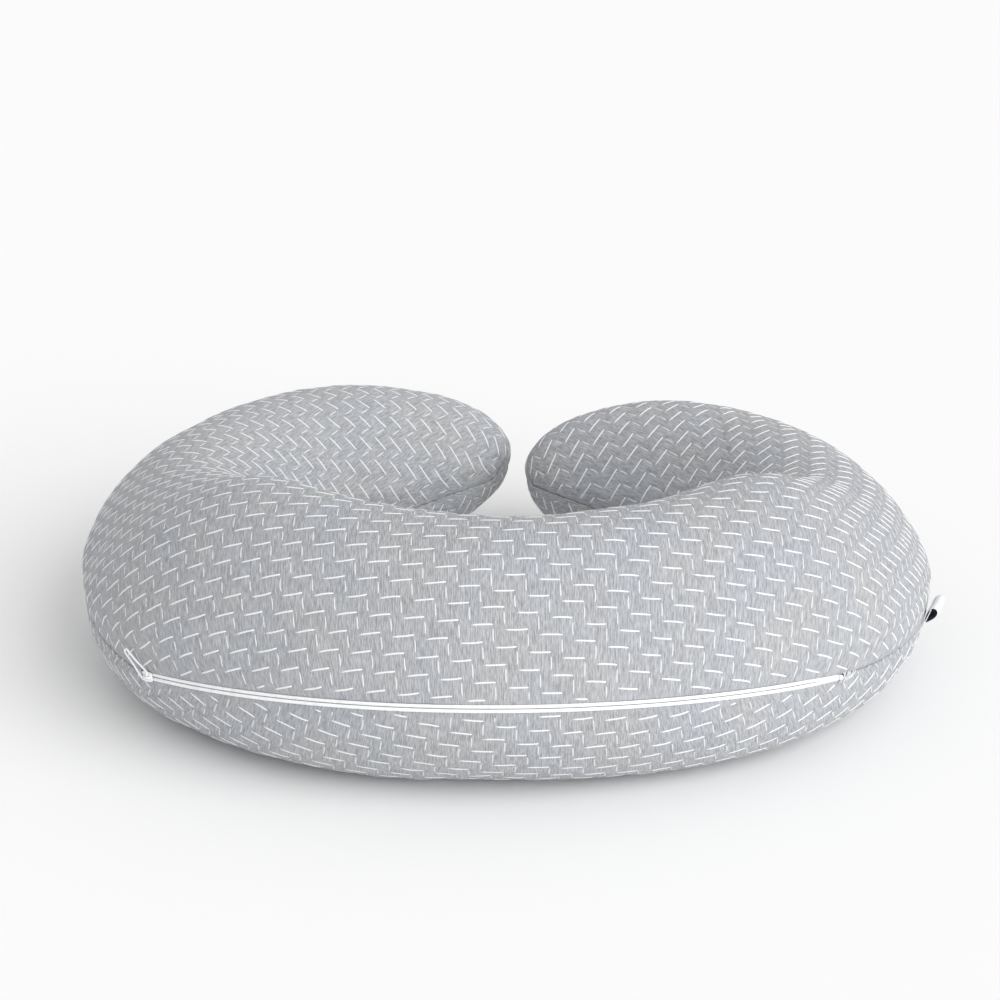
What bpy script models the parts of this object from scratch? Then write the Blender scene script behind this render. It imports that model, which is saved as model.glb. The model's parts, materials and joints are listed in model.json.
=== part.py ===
"""Nursing pillow: a C-shaped fibre-filled roll in a sewn liner, inside a zip-off quilted cover.

Metres, +Z up. +X is the pillow's width, -Y its closed front with the zip, and the two arms reach
to +Y round the wearer's waist. The origin is the bottom centre of the whole object's box.

Every layer is a loft over the same row of upright sections. The sections stand along the roll's
middle line, from the tip of the left arm, round the front, to the tip of the right arm.
"""
import math

import bmesh
import bpy
import numpy as np
from mathutils import Matrix, Vector

# ---- the roll's middle line: each arm is measured from the front's centre ----------------------
FRONT_BEND = 4.82             # 1/m, curvature of the front
FRONT_LENGTH = 0.1563         # how far the front keeps that curvature, each way
ARMS = {
    "left": {"side": -1.0, "length": 0.5941, "bends": (5.95, 7.18, 7.61),
             "end_half_width": 0.0743, "end_height": 0.1138, "tip_length": 0.1361,
             "outer_seam_z": (0.0545, 0.0560), "inner_seam_z": (0.0300, 0.0300, 0.0545)},
    "right": {"side": 1.0, "length": 0.5285, "bends": (7.91, 7.37, 7.79),
              "end_half_width": 0.0578, "end_height": 0.1195, "tip_length": 0.1413,
              "outer_seam_z": (0.0445, 0.0560), "inner_seam_z": (0.0300, 0.0300, 0.0600)},
}
BEND_PLACES = (0.45, 0.70, 1.0)     # parts of an arm's length where its bends are stated

# ---- the sections ------------------------------------------------------------------------------
MID_HALF_WIDTH = 0.0740       # halfway along each arm
FRONT_HEIGHT = 0.1530
MID_HEIGHT = 0.1221
WIDEST_Z = (0.0749, 0.0627, 0.0681)     # height of the widest line: front, mid arm, tip
CROWN_POWER = 1.73            # shape of the crown above the widest line
BELLY_POWERS = (2.10, 2.75, 2.70, 2.07)  # squareness below it: centre, front's end, mid arm, tip
TIP_HEIGHT_POWER = 0.9        # how the height closes towards a tip, against the width
SINK = 0.0025                 # how far the belly is pressed flat where the pillow lies
LOWEST_SEAM = 0.75            # a seam never drops below this part of the belly's depth

# ---- the layers, from the outside in -----------------------------------------------------------
GAP = 0.0003
COVER = 0.0016
TAPE = 0.00045
PLATE = 0.0006
LINER = 0.0008
TAPE_DEPTH = COVER + GAP
PLATE_ROOM = 0.0013           # the cover's surface leans a little, to and fro, along the zip
PLATE_DEPTH = TAPE_DEPTH + TAPE + PLATE_ROOM
LINER_DEPTH = PLATE_DEPTH + PLATE + PLATE_ROOM / 2
FILL_DEPTH = LINER_DEPTH + LINER + 2 * GAP
SEAM_GAP = 0.0004             # between the edges of two panels that are sewn together

# ---- the zip: an arc of a circle whose plane leans back ----------------------------------------
ZIP_RADIUS = 0.300
ZIP_TILT = math.radians(12.8)
ZIP_ROLL = math.radians(6)    # the coils face this much lower than the circle's own radius
ZIP_FRONT = (0.0, -0.0810, 0.0731)      # the arc's foremost point, from the front's centre
ZIP_ENDS = (math.radians(-48.5), math.radians(38.4))
COIL_HALF_WIDTH = 0.0023
CHANNEL_HALF_WIDTH = 0.00065  # space between the coils, where the slider's web runs
COIL_PROUD = 0.0005
COIL_SUNK = 0.0015
SLOT_HALF_HEIGHT = COIL_HALF_WIDTH / math.cos(ZIP_TILT) + 2 * GAP
TAPE_START = 0.0010           # from the zip's middle to each tape's inner edge
TAPE_REACH = 0.011            # how far each tape runs under its panel
STOP_LENGTH = 0.0022
STOP_CLEARANCE = 0.0004

SLIDER_LENGTH = 0.0082
SLIDER_WIDTH = 0.0068
INNER_PLATE_WIDTH = 0.0040
OUTER_PLATE = 0.0009
WEB_LENGTH = 0.0026
WEB_WIDTH = 0.0006
BAIL_RADIUS = 0.0024
BAIL_WIRE = 0.0010
PULL_LENGTH = 0.0205
PULL_HALF_WIDTH = 0.0034
PULL_END_HALF_WIDTH = 0.0016
PULL_WIRE = 0.0011
PULL_SKEW = math.radians(45)  # the pull lies askew, up over the top panel
PULL_LIFT = 0.0026            # height of the pull's far end over the cover

# ---- the label: a folded ribbon in the right outer seam ----------------------------------------
LABEL_PLACE = 0.229           # along the right arm
LABEL_WIDTH = 0.022
LABEL_REACH = 0.0115
LABEL_THICK = 0.0006
LABEL_FOLD = 0.0013           # radius of the fold
LABEL_RISE = math.radians(55)
LABEL_START = 0.0030          # the ribbon's ends, clear of the two panels

# ---- how finely the lofts are cut --------------------------------------------------------------
ARM_STEP = 0.025
TIP_STEPS = 7
CROWN_ROWS = 10
BELLY_ROWS = 9
ZIP_STEPS = 38


# ================================================================================================
# curves
# ================================================================================================
def smooth_through(x, places, values):
    """Monotone cubic curve through the points (places, values), read at x."""
    places = np.array(places, float)
    values = np.array(values, float)
    run = np.diff(places)
    rise = np.diff(values) / run
    slope = np.zeros(len(places))
    for i in range(1, len(places) - 1):
        if rise[i - 1] * rise[i] > 0:
            near = 2 * run[i] + run[i - 1]
            far = run[i] + 2 * run[i - 1]
            slope[i] = (near + far) / (near / rise[i - 1] + far / rise[i])
    slope[-1] = rise[-1]
    x = np.clip(x, places[0], places[-1])
    k = np.clip(np.searchsorted(places, x, side="right") - 1, 0, len(run) - 1)
    u = (x - places[k]) / run[k]
    return (values[k] * (1 + 2 * u) * (1 - u) ** 2 + slope[k] * run[k] * u * (1 - u) ** 2
            + values[k + 1] * u * u * (3 - 2 * u) - slope[k + 1] * run[k] * u * u * (1 - u))


class ZipArc:
    """The zip's arc. Angle 0 is its foremost point, and angles grow towards the right arm."""

    across = Vector((0.0, math.sin(ZIP_TILT), math.cos(ZIP_TILT)))
    back = Vector((0.0, math.cos(ZIP_TILT), -math.sin(ZIP_TILT)))
    centre = Vector(ZIP_FRONT) + ZIP_RADIUS * back

    @classmethod
    def outward(cls, angle):
        return Vector((math.sin(angle), 0, 0)) - math.cos(angle) * cls.back

    @classmethod
    def along(cls, angle):
        return Vector((math.cos(angle), 0, 0)) + math.sin(angle) * cls.back

    @classmethod
    def face(cls, angle):
        """The way the coils face at this angle."""
        return math.cos(ZIP_ROLL) * cls.outward(angle) - math.sin(ZIP_ROLL) * cls.across

    @classmethod
    def point(cls, angle, out=0.0, up=0.0):
        face = cls.face(angle)
        upward = face.cross(cls.along(angle))
        return cls.centre + ZIP_RADIUS * cls.outward(angle) + out * face + up * upward

    @classmethod
    def seen_from(cls, x, y, out_x, out_y):
        """Reach and height of the arc, as an upright section at (x, y) meets it."""
        angle = math.atan2(out_x, -out_y)
        for _ in range(20):
            p = cls.point(angle)
            miss = (p.x - x) * out_y - (p.y - y) * out_x
            ahead = cls.along(angle)
            turn = ZIP_RADIUS * (ahead.x * out_y - ahead.y * out_x)
            angle -= miss / turn
        p = cls.point(angle)
        return math.hypot(p.x - x, p.y - y), p.z, angle


class Arm:
    """One half of the roll, from the front's centre (s = 0) to its tip (s = length)."""

    def __init__(self, side, length, bends, end_half_width, end_height, tip_length,
                 outer_seam_z, inner_seam_z):
        self.side = side
        self.length = length
        self.tip_length = tip_length
        self.neck = length - tip_length
        self.table = np.linspace(0, length, 600)
        places = [0, FRONT_LENGTH] + [part * length for part in BEND_PLACES]
        bend = np.interp(self.table, places, [FRONT_BEND, FRONT_BEND] + list(bends))
        step = self.table[1]
        self.heading = self.summed(bend, step)
        self.x = side * self.summed(np.cos(self.heading), step)
        self.y = self.summed(np.sin(self.heading), step)
        self.zip_end = self.find_zip_end()
        self.set_profiles(end_half_width, end_height, outer_seam_z, inner_seam_z)

    @staticmethod
    def summed(values, step):
        return np.concatenate([[0], np.cumsum((values[1:] + values[:-1]) / 2 * step)])

    def spine(self, s):
        """Point of the middle line and the way out from it, to the roll's outer side."""
        heading = np.interp(s, self.table, self.heading)
        x = np.interp(s, self.table, self.x)
        y = np.interp(s, self.table, self.y)
        return x, y, self.side * math.sin(heading), -math.cos(heading)

    def find_zip_end(self):
        limit = ZIP_ENDS[0] if self.side < 0 else ZIP_ENDS[1]
        for s in self.table:
            angle = ZipArc.seen_from(*self.spine(s))[2]
            if abs(angle) >= abs(limit):
                return float(s)
        return self.length

    def set_profiles(self, end_half_width, end_height, outer_seam_z, inner_seam_z):
        half = 0.5 * self.length
        knots = [0, FRONT_LENGTH, half, self.length]
        self.height_at = (knots, [FRONT_HEIGHT, FRONT_HEIGHT, MID_HEIGHT, end_height])
        self.widest_at = (knots, [WIDEST_Z[0], WIDEST_Z[0], WIDEST_Z[1], WIDEST_Z[2]])
        self.belly_at = (knots, list(BELLY_POWERS))
        self.inner_at = (knots, [inner_seam_z[0], *inner_seam_z])
        # up to the zip's end the seam is the zip's arc; past it the seam and the width run on
        before = self.zip_end - 0.02
        seam = [ZipArc.seen_from(*self.spine(s))[1] for s in (before, self.zip_end)]
        self.outer_at = ([before, self.zip_end, half, self.length], seam + list(outer_seam_z))
        self.width_at = None
        width = [self.section(s)["half_width"] for s in (before, self.zip_end)]
        self.width_at = ([before, self.zip_end, half, self.length],
                         width + [MID_HALF_WIDTH, end_half_width])

    def section(self, s):
        """All that describes the roll's section at s, before the tip closes it."""
        widest = float(smooth_through(s, *self.widest_at))
        power = float(smooth_through(s, *self.belly_at))
        crown = float(smooth_through(s, *self.height_at)) - widest
        belly = widest + SINK
        x, y, out_x, out_y = self.spine(s)
        beyond = max(0.0, s - self.neck) / self.tip_length
        closing = math.sqrt(max(0.0, 1 - beyond * beyond))
        found = {"s": s, "widest": widest, "crown": crown, "belly": belly, "power": power,
                 "closing": closing}
        if s <= self.zip_end:
            reach, seam_z, _ = ZipArc.seen_from(x, y, out_x, out_y)
        else:
            seam_z = float(smooth_through(s, *self.outer_at))
        found["outer_angle"] = section_angle(seam_z, found)
        found["inner_angle"] = math.pi - section_angle(float(smooth_through(s, *self.inner_at)), found)
        if s <= self.zip_end or self.width_at is None:
            reach = ZipArc.seen_from(x, y, out_x, out_y)[0]
            found["half_width"] = reach / profile(found["outer_angle"], power)[0]
        else:
            found["half_width"] = float(smooth_through(s, *self.width_at))
        return found

    def place(self, section, angle, depth=0.0):
        """Point of the roll's surface at this section and angle, moved in by depth."""
        s = section["s"]
        if s > self.neck:
            s = self.neck + (s - self.neck) * (self.tip_length - depth) / self.tip_length
        x, y, out_x, out_y = self.spine(s)
        across, up = profile(angle, section["power"])
        reach = across * (section["half_width"] - depth) * section["closing"]
        tall = section["crown"] if up >= 0 else section["belly"]
        rise = up * (tall - depth) * section["closing"] ** TIP_HEIGHT_POWER
        z = max(section["widest"] + rise, depth)
        return (x + out_x * reach, y + out_y * reach, z)


def profile(angle, power):
    """Unit section: angle 0 is the outer side, 90 degrees the top, 180 the inner side."""
    c = math.cos(angle)
    s = math.sin(angle)
    if s >= 0:
        return c, s ** CROWN_POWER
    return math.copysign(abs(c) ** (2 / power), c), -(abs(s) ** (2 / power))


def section_angle(z, section):
    """Angle on the outer side where the section's surface is at height z."""
    shut = section["closing"] ** TIP_HEIGHT_POWER + 1e-9
    rise = z - section["widest"]
    if rise >= 0:
        part = min(rise / (section["crown"] * shut), LOWEST_SEAM)
        return math.asin(part ** (1 / CROWN_POWER))
    part = min(-rise / (section["belly"] * shut), LOWEST_SEAM)
    return -math.asin(part ** (section["power"] / 2))


# ================================================================================================
# the lofts' stations and rows
# ================================================================================================
def arm_stations(arm):
    """Places along an arm: even steps, both ends of the zip's slot, then the rounded tip."""
    slot_shut = arm.zip_end + 0.010
    spots = [0.0]
    for start, end in ((0.0, arm.zip_end), (slot_shut, arm.neck)):
        count = max(2, round((end - start) / ARM_STEP))
        spots += [start + (end - start) * k / count for k in range(0 if start else 1, count + 1)]
    tip = [math.sin(math.pi / 2 * k / TIP_STEPS) for k in range(1, TIP_STEPS + 1)]
    return spots + [arm.neck + arm.tip_length * part for part in tip]


def all_stations(left, right):
    """Pairs of arm and section, from the left tip to the right tip."""
    row = [(left, left.section(s)) for s in reversed(arm_stations(left))]
    return row + [(right, right.section(s)) for s in arm_stations(right)[1:]]


def row_angles(section, start, end, rows):
    """Angles from start to end: one row at the zip tape's edge, the others evenly spaced."""
    angles = np.linspace(start, end, 240)
    outline = [profile(a, section["power"]) for a in angles]
    tall = [section["crown"] if up >= 0 else section["belly"] for _, up in outline]
    flat = np.array([(across * section["half_width"], up * t) for (across, up), t in zip(outline, tall)])
    length = np.concatenate([[0], np.cumsum(np.hypot(*np.diff(flat, axis=0).T))])
    first = TAPE_REACH - SLOT_HALF_HEIGHT
    spots = np.concatenate([[0], np.linspace(first, length[-1], rows)])
    return np.interp(spots, length, angles)


def edge_angle(section, angle, shift):
    """The angle whose height is shift above (or, if negative, below) the one given."""
    up = profile(angle, section["power"])[1]
    tall = section["crown"] if up >= 0 else section["belly"]
    z = section["widest"] + up * tall * section["closing"] ** TIP_HEIGHT_POWER
    return section_angle(z + shift, section)


def panel_angles(arm, section, upper, slotted):
    """Angles of a panel's rows, from its outer edge to its inner edge."""
    rows = CROWN_ROWS if upper else BELLY_ROWS
    in_slot = slotted and section["s"] <= arm.zip_end + 1e-6
    outer_shift = SLOT_HALF_HEIGHT if in_slot else SEAM_GAP / 2
    inner_shift = SEAM_GAP / 2
    outer = section["outer_angle"]
    inner = section["inner_angle"]
    if section["closing"] < 1e-6:
        return [outer] * (rows + 1)
    sign = 1 if upper else -1
    outer = edge_angle(section, outer, sign * outer_shift)
    inner = math.pi - edge_angle(section, math.pi - inner, sign * inner_shift)
    if not upper:
        inner -= 2 * math.pi
    return row_angles(section, outer, inner, rows)


# ================================================================================================
# meshes
# ================================================================================================
def new_object(name, bm, material, collection, smooth=True):
    bmesh.ops.recalc_face_normals(bm, faces=bm.faces)
    mesh = bpy.data.meshes.new(name)
    bm.to_mesh(mesh)
    bm.free()
    if smooth:
        mesh.shade_smooth()
        mesh.set_sharp_from_angle(angle=math.radians(40))
    mesh.materials.append(material)
    obj = bpy.data.objects.new(name, mesh)
    collection.objects.link(obj)
    return obj


def add_skin(bm, grid):
    """Triangles over a grid of points, all cut along the same diagonal as the layers beside it."""
    spots = [[bm.verts.new(p) for p in row] for row in grid]
    for near, far in zip(spots, spots[1:]):
        for j in range(len(near) - 1):
            bm.faces.new((near[j], far[j], far[j + 1]))
            bm.faces.new((near[j], far[j + 1], near[j + 1]))
    return spots


def loft_between(outer, inner):
    """Closed body between two grids of points with the same rows, rims included."""
    bm = bmesh.new()
    out = add_skin(bm, outer)
    inn = add_skin(bm, inner)
    last = len(out[0]) - 1
    for i in range(len(out) - 1):
        for j in (0, last):
            bm.faces.new((out[i][j], out[i + 1][j], inn[i + 1][j], inn[i][j]))
    for j in range(last):
        for i in (0, len(out) - 1):
            bm.faces.new((out[i][j], out[i][j + 1], inn[i][j + 1], inn[i][j]))
    close_tips(bm)
    return bm


def close_tips(bm):
    bmesh.ops.remove_doubles(bm, verts=bm.verts, dist=1e-6)


def panel(name, stations, upper, depth, thickness, material, collection):
    """One fabric panel as a closed shell. Only the cover's panels leave a slot for the zip."""
    angles = [panel_angles(arm, section, upper, depth == 0.0) for arm, section in stations]
    grids = []
    for d in (depth, depth + thickness):
        grids.append([[panel_point(arm, section, a, d, upper) for a in row]
                      for (arm, section), row in zip(stations, angles)])
    return new_object(name, loft_between(*grids), material, collection)


def panel_point(arm, section, angle, depth, upper):
    """A panel's point; at a tip, where its edges meet, it keeps half the seam's gap."""
    x, y, z = arm.place(section, angle, depth)
    if section["closing"] < 1e-6:
        z += SEAM_GAP / 2 if upper else -SEAM_GAP / 2
    return x, y, z


def fill(name, stations, material, collection):
    """The solid that the liner holds: a skin over the top and one underneath, welded at the seams."""
    bm = bmesh.new()
    for rows, round_off in ((CROWN_ROWS, 0.0), (BELLY_ROWS, 2 * math.pi)):
        grid = []
        for arm, section in stations:
            inner = section["inner_angle"] - round_off
            angles = row_angles(section, section["outer_angle"], inner, rows)
            grid.append([arm.place(section, a, FILL_DEPTH) for a in angles])
        add_skin(bm, grid)
    close_tips(bm)
    return new_object(name, bm, material, collection)


# ================================================================================================
# the zip
# ================================================================================================
def zip_angle(length):
    return length / ZIP_RADIUS


def zip_limits():
    """Angles of the coils' ends and of the slider's centre at both ends of its travel."""
    margin = zip_angle(STOP_CLEARANCE)
    stop = zip_angle(STOP_LENGTH)
    half = zip_angle(SLIDER_LENGTH / 2)
    coils = (ZIP_ENDS[0] + margin * 2 + stop, ZIP_ENDS[1] - margin * 2 - stop)
    return {"coils": coils, "closed": coils[0] + half, "open": coils[1] - margin - half}


def zip_bar(name, ends, low, high, sunk, proud, material, collection, steps=ZIP_STEPS):
    """A bar of rectangular section that follows the zip's arc."""
    turns = [ends[0] + (ends[1] - ends[0]) * k / steps for k in range(steps + 1)]
    skins = []
    for out in (proud, -sunk):
        skins.append([[ZipArc.point(a, out, up) for up in (low, high)] for a in turns])
    return new_object(name, loft_between(*skins), material, collection, smooth=False)


def zip_tape(name, stations, upper, material, collection):
    """A tape under its panel's edge, as long as the zip's slot."""
    sign = 1 if upper else -1
    grids = []
    for depth in (TAPE_DEPTH, TAPE_DEPTH + TAPE):
        grid = []
        for arm, section in stations:
            if section["s"] > arm.zip_end + 1e-6:
                continue
            outer = section["outer_angle"]
            drift = TAPE_DEPTH * profile(outer, section["power"])[1]
            near = edge_angle(section, outer, sign * TAPE_START + drift)
            under_panel = panel_angles(arm, section, upper, True)[:2]
            grid.append([arm.place(section, a, depth) for a in (near, *under_panel)])
        grids.append(grid)
    return new_object(name, loft_between(*grids), material, collection)


def slider_frame(angle):
    """Matrix of the slider's own axes: X along the zip to its closed end, Y across, Z out."""
    x = -ZipArc.along(angle)
    z = ZipArc.face(angle)
    y = z.cross(x)
    turn = Matrix((x, y, z)).transposed().to_4x4()
    return Matrix.Translation(ZipArc.point(angle)) @ turn


def block(bm, size, centre):
    made = bmesh.ops.create_cube(bm, size=1.0)["verts"]
    bmesh.ops.scale(bm, verts=made, vec=size)
    bmesh.ops.translate(bm, verts=made, vec=centre)


def wire_object(name, points, wire, cyclic, material, collection):
    """A round wire along points, as a mesh."""
    curve = bpy.data.curves.new(name, "CURVE")
    curve.dimensions = "3D"
    curve.bevel_depth = wire / 2
    curve.bevel_resolution = 2
    curve.use_fill_caps = not cyclic
    line = curve.splines.new("POLY")
    line.points.add(len(points) - 1)
    for spot, p in zip(line.points, points):
        spot.co = (*p, 1.0)
    line.use_cyclic_u = cyclic
    guide = bpy.data.objects.new(name + "_guide", curve)
    collection.objects.link(guide)
    bpy.context.view_layer.update()
    mesh = bpy.data.meshes.new_from_object(guide.evaluated_get(bpy.context.evaluated_depsgraph_get()))
    bpy.data.objects.remove(guide)
    bm = bmesh.new()
    bm.from_mesh(mesh)
    bpy.data.meshes.remove(mesh)
    bmesh.ops.remove_doubles(bm, verts=bm.verts, dist=1e-6)
    return new_object(name, bm, material, collection)


def outer_plate_top():
    return COIL_PROUD + GAP + OUTER_PLATE


def make_slider(material, collection, helpers):
    """Two plates joined by a web at the nose, with the bail that holds the pull on top."""
    top = outer_plate_top()
    low = -PLATE_DEPTH - PLATE
    bm = bmesh.new()
    block(bm, (SLIDER_LENGTH, SLIDER_WIDTH, OUTER_PLATE), (0, 0, top - OUTER_PLATE / 2))
    body = new_object("zip_slider", bm, material, collection)
    nose = SLIDER_LENGTH / 2 - WEB_LENGTH / 2 - 0.0006
    bm = bmesh.new()
    block(bm, (WEB_LENGTH, WEB_WIDTH, top - low - OUTER_PLATE / 2 - PLATE / 2),
          (nose, 0, (top - OUTER_PLATE / 2 + low + PLATE / 2) / 2))
    web = new_object("slider_web_join", bm, material, helpers)
    bm = bmesh.new()
    block(bm, (SLIDER_LENGTH * 0.92, INNER_PLATE_WIDTH, PLATE), (0, 0, low + PLATE / 2))
    inner = new_object("slider_plate_join", bm, material, helpers)
    arch = [(BAIL_RADIUS * math.cos(a), 0, top - 0.0003 + BAIL_RADIUS * math.sin(a) * 0.95)
            for a in np.linspace(0, math.pi, 13)]
    bail = wire_object("slider_bail_join", arch, BAIL_WIRE, False, material, helpers)
    for tool in (web, inner, bail):
        tool.hide_render = True
        tool.display_type = "WIRE"
        join = body.modifiers.new(tool.name, "BOOLEAN")
        join.operation = "UNION"
        join.object = tool
    return body


def pull_points(far):
    """Loop of the pull: its bar lies on the origin along Y, and its far end at `far` along X."""
    points = []
    ends = ((0.0, PULL_HALF_WIDTH, math.pi / 2, 1.5 * math.pi),
            (far, PULL_END_HALF_WIDTH, -math.pi / 2, math.pi / 2))
    for centre, radius, start, stop in ends:
        flatten = 0.45 if centre == 0.0 else 1.0
        for a in np.linspace(start, stop, 9):
            points.append((centre + flatten * radius * math.cos(a), radius * math.sin(a), 0.0))
    bar = min(p[0] for p in points)
    return [(x - bar, y, z) for x, y, z in points]


def make_pull(slider_at, surface_point, material, collection):
    """The wire loop, hung in the bail and lying over the top panel."""
    hole = Vector((0, 0, outer_plate_top() + 0.0009))
    pivot = slider_at @ hole
    towards = surface_point - pivot
    towards.normalize()
    out = slider_at.col[2].to_3d()
    axis = out.cross(towards)
    axis.normalize()
    z = towards.cross(axis)
    turn = Matrix((towards, axis, z)).transposed().to_4x4()
    pull = wire_object("zip_pull_loop", pull_points(PULL_LENGTH - PULL_END_HALF_WIDTH), PULL_WIRE,
                       True, material, collection)
    pull.matrix_world = Matrix.Translation(pivot) @ turn
    return pull, pivot, axis


def pull_target(arm, slider_at):
    """Point over the top panel that the pull's far end lies above."""
    ahead = slider_at.col[0].to_3d()
    up = slider_at.col[1].to_3d()
    if up.z < 0:
        up = -up
    foot = slider_at.to_translation()
    goal = foot + PULL_LENGTH * (math.cos(PULL_SKEW) * ahead + math.sin(PULL_SKEW) * up)
    best = None
    for s in np.linspace(arm.zip_end - 0.02, arm.zip_end + 0.05, 60):
        section = arm.section(float(s))
        for a in np.linspace(section["outer_angle"], math.pi / 3, 60):
            p = Vector(arm.place(section, a))
            miss = (p - goal).length
            if best is None or miss < best[0]:
                normal = Vector(arm.place(section, a)) - Vector(arm.place(section, a, 0.01))
                best = (miss, p + PULL_LIFT * normal.normalized())
    return best[1]


# ================================================================================================
# the label
# ================================================================================================
def make_label(arm, material, collection):
    """A ribbon folded into a loop, with both ends at the outer seam."""
    section = arm.section(LABEL_PLACE)
    _, _, out_x, out_y = arm.spine(LABEL_PLACE)
    foot = Vector(arm.place(section, section["outer_angle"]))
    away = Vector((out_x, out_y, 0))
    along = Vector((-out_y, out_x, 0))
    reach = math.cos(LABEL_RISE) * away + math.sin(LABEL_RISE) * Vector((0, 0, 1))
    aside = along.cross(reach)
    skins = []
    for side in (0.5, -0.5):
        radius = LABEL_FOLD + side * LABEL_THICK
        base = GAP + LABEL_THICK / 2 + side * LABEL_THICK
        profile_points = [(0.0, base)]
        profile_points += [(LABEL_REACH - LABEL_FOLD + radius * math.sin(a), radius * math.cos(a))
                           for a in np.linspace(0, math.pi, 9)]
        profile_points += [(0.0, -base)]
        skins.append([[foot + (out + LABEL_START) * reach + up * aside + end * LABEL_WIDTH / 2 * along
                       for end in (-1, 1)] for out, up in profile_points])
    return new_object("side_label", loft_between(*skins), material, collection)


# ================================================================================================
# materials and assembly
# ================================================================================================
def make_material(name, colour, roughness, metallic=0.0):
    material = bpy.data.materials.new(name)
    material.use_nodes = True
    shader = material.node_tree.nodes["Principled BSDF"]
    shader.inputs["Base Color"].default_value = (*colour, 1.0)
    shader.inputs["Roughness"].default_value = roughness
    shader.inputs["Metallic"].default_value = metallic
    material.diffuse_color = (*colour, 1.0)
    return material


def clear_scene():
    for obj in list(bpy.data.objects):
        bpy.data.objects.remove(obj)


def new_collection(name):
    collection = bpy.data.collections.new(name)
    bpy.context.scene.collection.children.link(collection)
    return collection


def stand_on_origin(parts, root):
    """Move the whole assembly so that the origin is the bottom centre of its box."""
    bpy.context.view_layer.update()
    corners = np.array([obj.matrix_world @ v.co for obj in parts for v in obj.data.vertices])
    low = corners.min(axis=0)
    high = corners.max(axis=0)
    root.location = (-(low[0] + high[0]) / 2, -(low[1] + high[1]) / 2, -low[2])
    bpy.context.view_layer.update()
    return high - low


def main():
    clear_scene()
    parts = new_collection("nursing_pillow")
    helpers = new_collection("joining_pieces")
    cover = make_material("cover_fabric", (0.52, 0.54, 0.57), 0.9)
    liner = make_material("liner_fabric", (0.85, 0.85, 0.84), 0.9)
    fibre = make_material("fill_fibre", (0.93, 0.93, 0.92), 1.0)
    tape = make_material("zip_tape", (0.90, 0.91, 0.93), 0.8)
    nylon = make_material("zip_nylon", (0.93, 0.94, 0.96), 0.4)
    enamel = make_material("slider_enamel", (0.92, 0.93, 0.95), 0.3)
    ribbon = make_material("label_ribbon", (0.88, 0.90, 0.95), 0.6)

    left = Arm(**ARMS["left"])
    right = Arm(**ARMS["right"])
    stations = all_stations(left, right)

    panel("cover_top_panel", stations, True, 0.0, COVER, cover, parts)
    panel("cover_bottom_panel", stations, False, 0.0, COVER, cover, parts)
    panel("liner_top_panel", stations, True, LINER_DEPTH, LINER, liner, parts)
    panel("liner_bottom_panel", stations, False, LINER_DEPTH, LINER, liner, parts)
    fill("fibre_fill", stations, fibre, parts)
    make_label(right, ribbon, parts)

    limits = zip_limits()
    for word, sign in (("upper", 1), ("lower", -1)):
        span = sorted((sign * CHANNEL_HALF_WIDTH, sign * COIL_HALF_WIDTH))
        zip_tape("zip_tape_" + word, stations, sign > 0, tape, parts)
        zip_bar("zip_coil_" + word, limits["coils"], *span, COIL_SUNK, COIL_PROUD, nylon, parts)
        start = ZIP_ENDS[0] + zip_angle(STOP_CLEARANCE)
        zip_bar("zip_top_stop_" + word, (start, start + zip_angle(STOP_LENGTH)), *span,
                COIL_SUNK, COIL_PROUD * 2, nylon, parts, steps=1)
    end = ZIP_ENDS[1] - zip_angle(STOP_CLEARANCE)
    zip_bar("zip_bottom_stop", (end - zip_angle(STOP_LENGTH), end), -COIL_HALF_WIDTH, COIL_HALF_WIDTH,
            COIL_SUNK, COIL_PROUD * 2, nylon, parts, steps=1)

    slider_at = slider_frame(limits["closed"])
    slider = make_slider(enamel, parts, helpers)
    for obj in [slider] + list(helpers.objects):
        obj.matrix_world = slider_at
    pull, pivot, axis = make_pull(slider_at, pull_target(left, slider_at), enamel, parts)

    root = bpy.data.objects.new("nursing_pillow_origin", None)
    bpy.context.scene.collection.objects.link(root)
    bpy.context.view_layer.update()
    for obj in list(parts.objects) + list(helpers.objects):
        obj.parent = root
    size = stand_on_origin(list(parts.objects), root)

    shift = root.location
    print("size", [round(v, 4) for v in size])
    print("shift", [round(v, 6) for v in shift])
    print("slider joint at", [round(v, 6) for v in ZipArc.centre + shift],
          "axis", [round(v, 6) for v in ZipArc.across],
          "degrees", round(math.degrees(limits["open"] - limits["closed"]), 2))
    print("pull joint at", [round(v, 6) for v in pivot + shift], "axis", [round(v, 6) for v in axis])


main()
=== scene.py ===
"""Looks of the nursing pillow: quilted knit cover with raised floats, coil zip, slider and label.

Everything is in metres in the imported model's frame. The roll is described as the CAD describes it,
by upright sections along its middle line, so each layer here lies where its CAD solid lies.
"""

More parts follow.
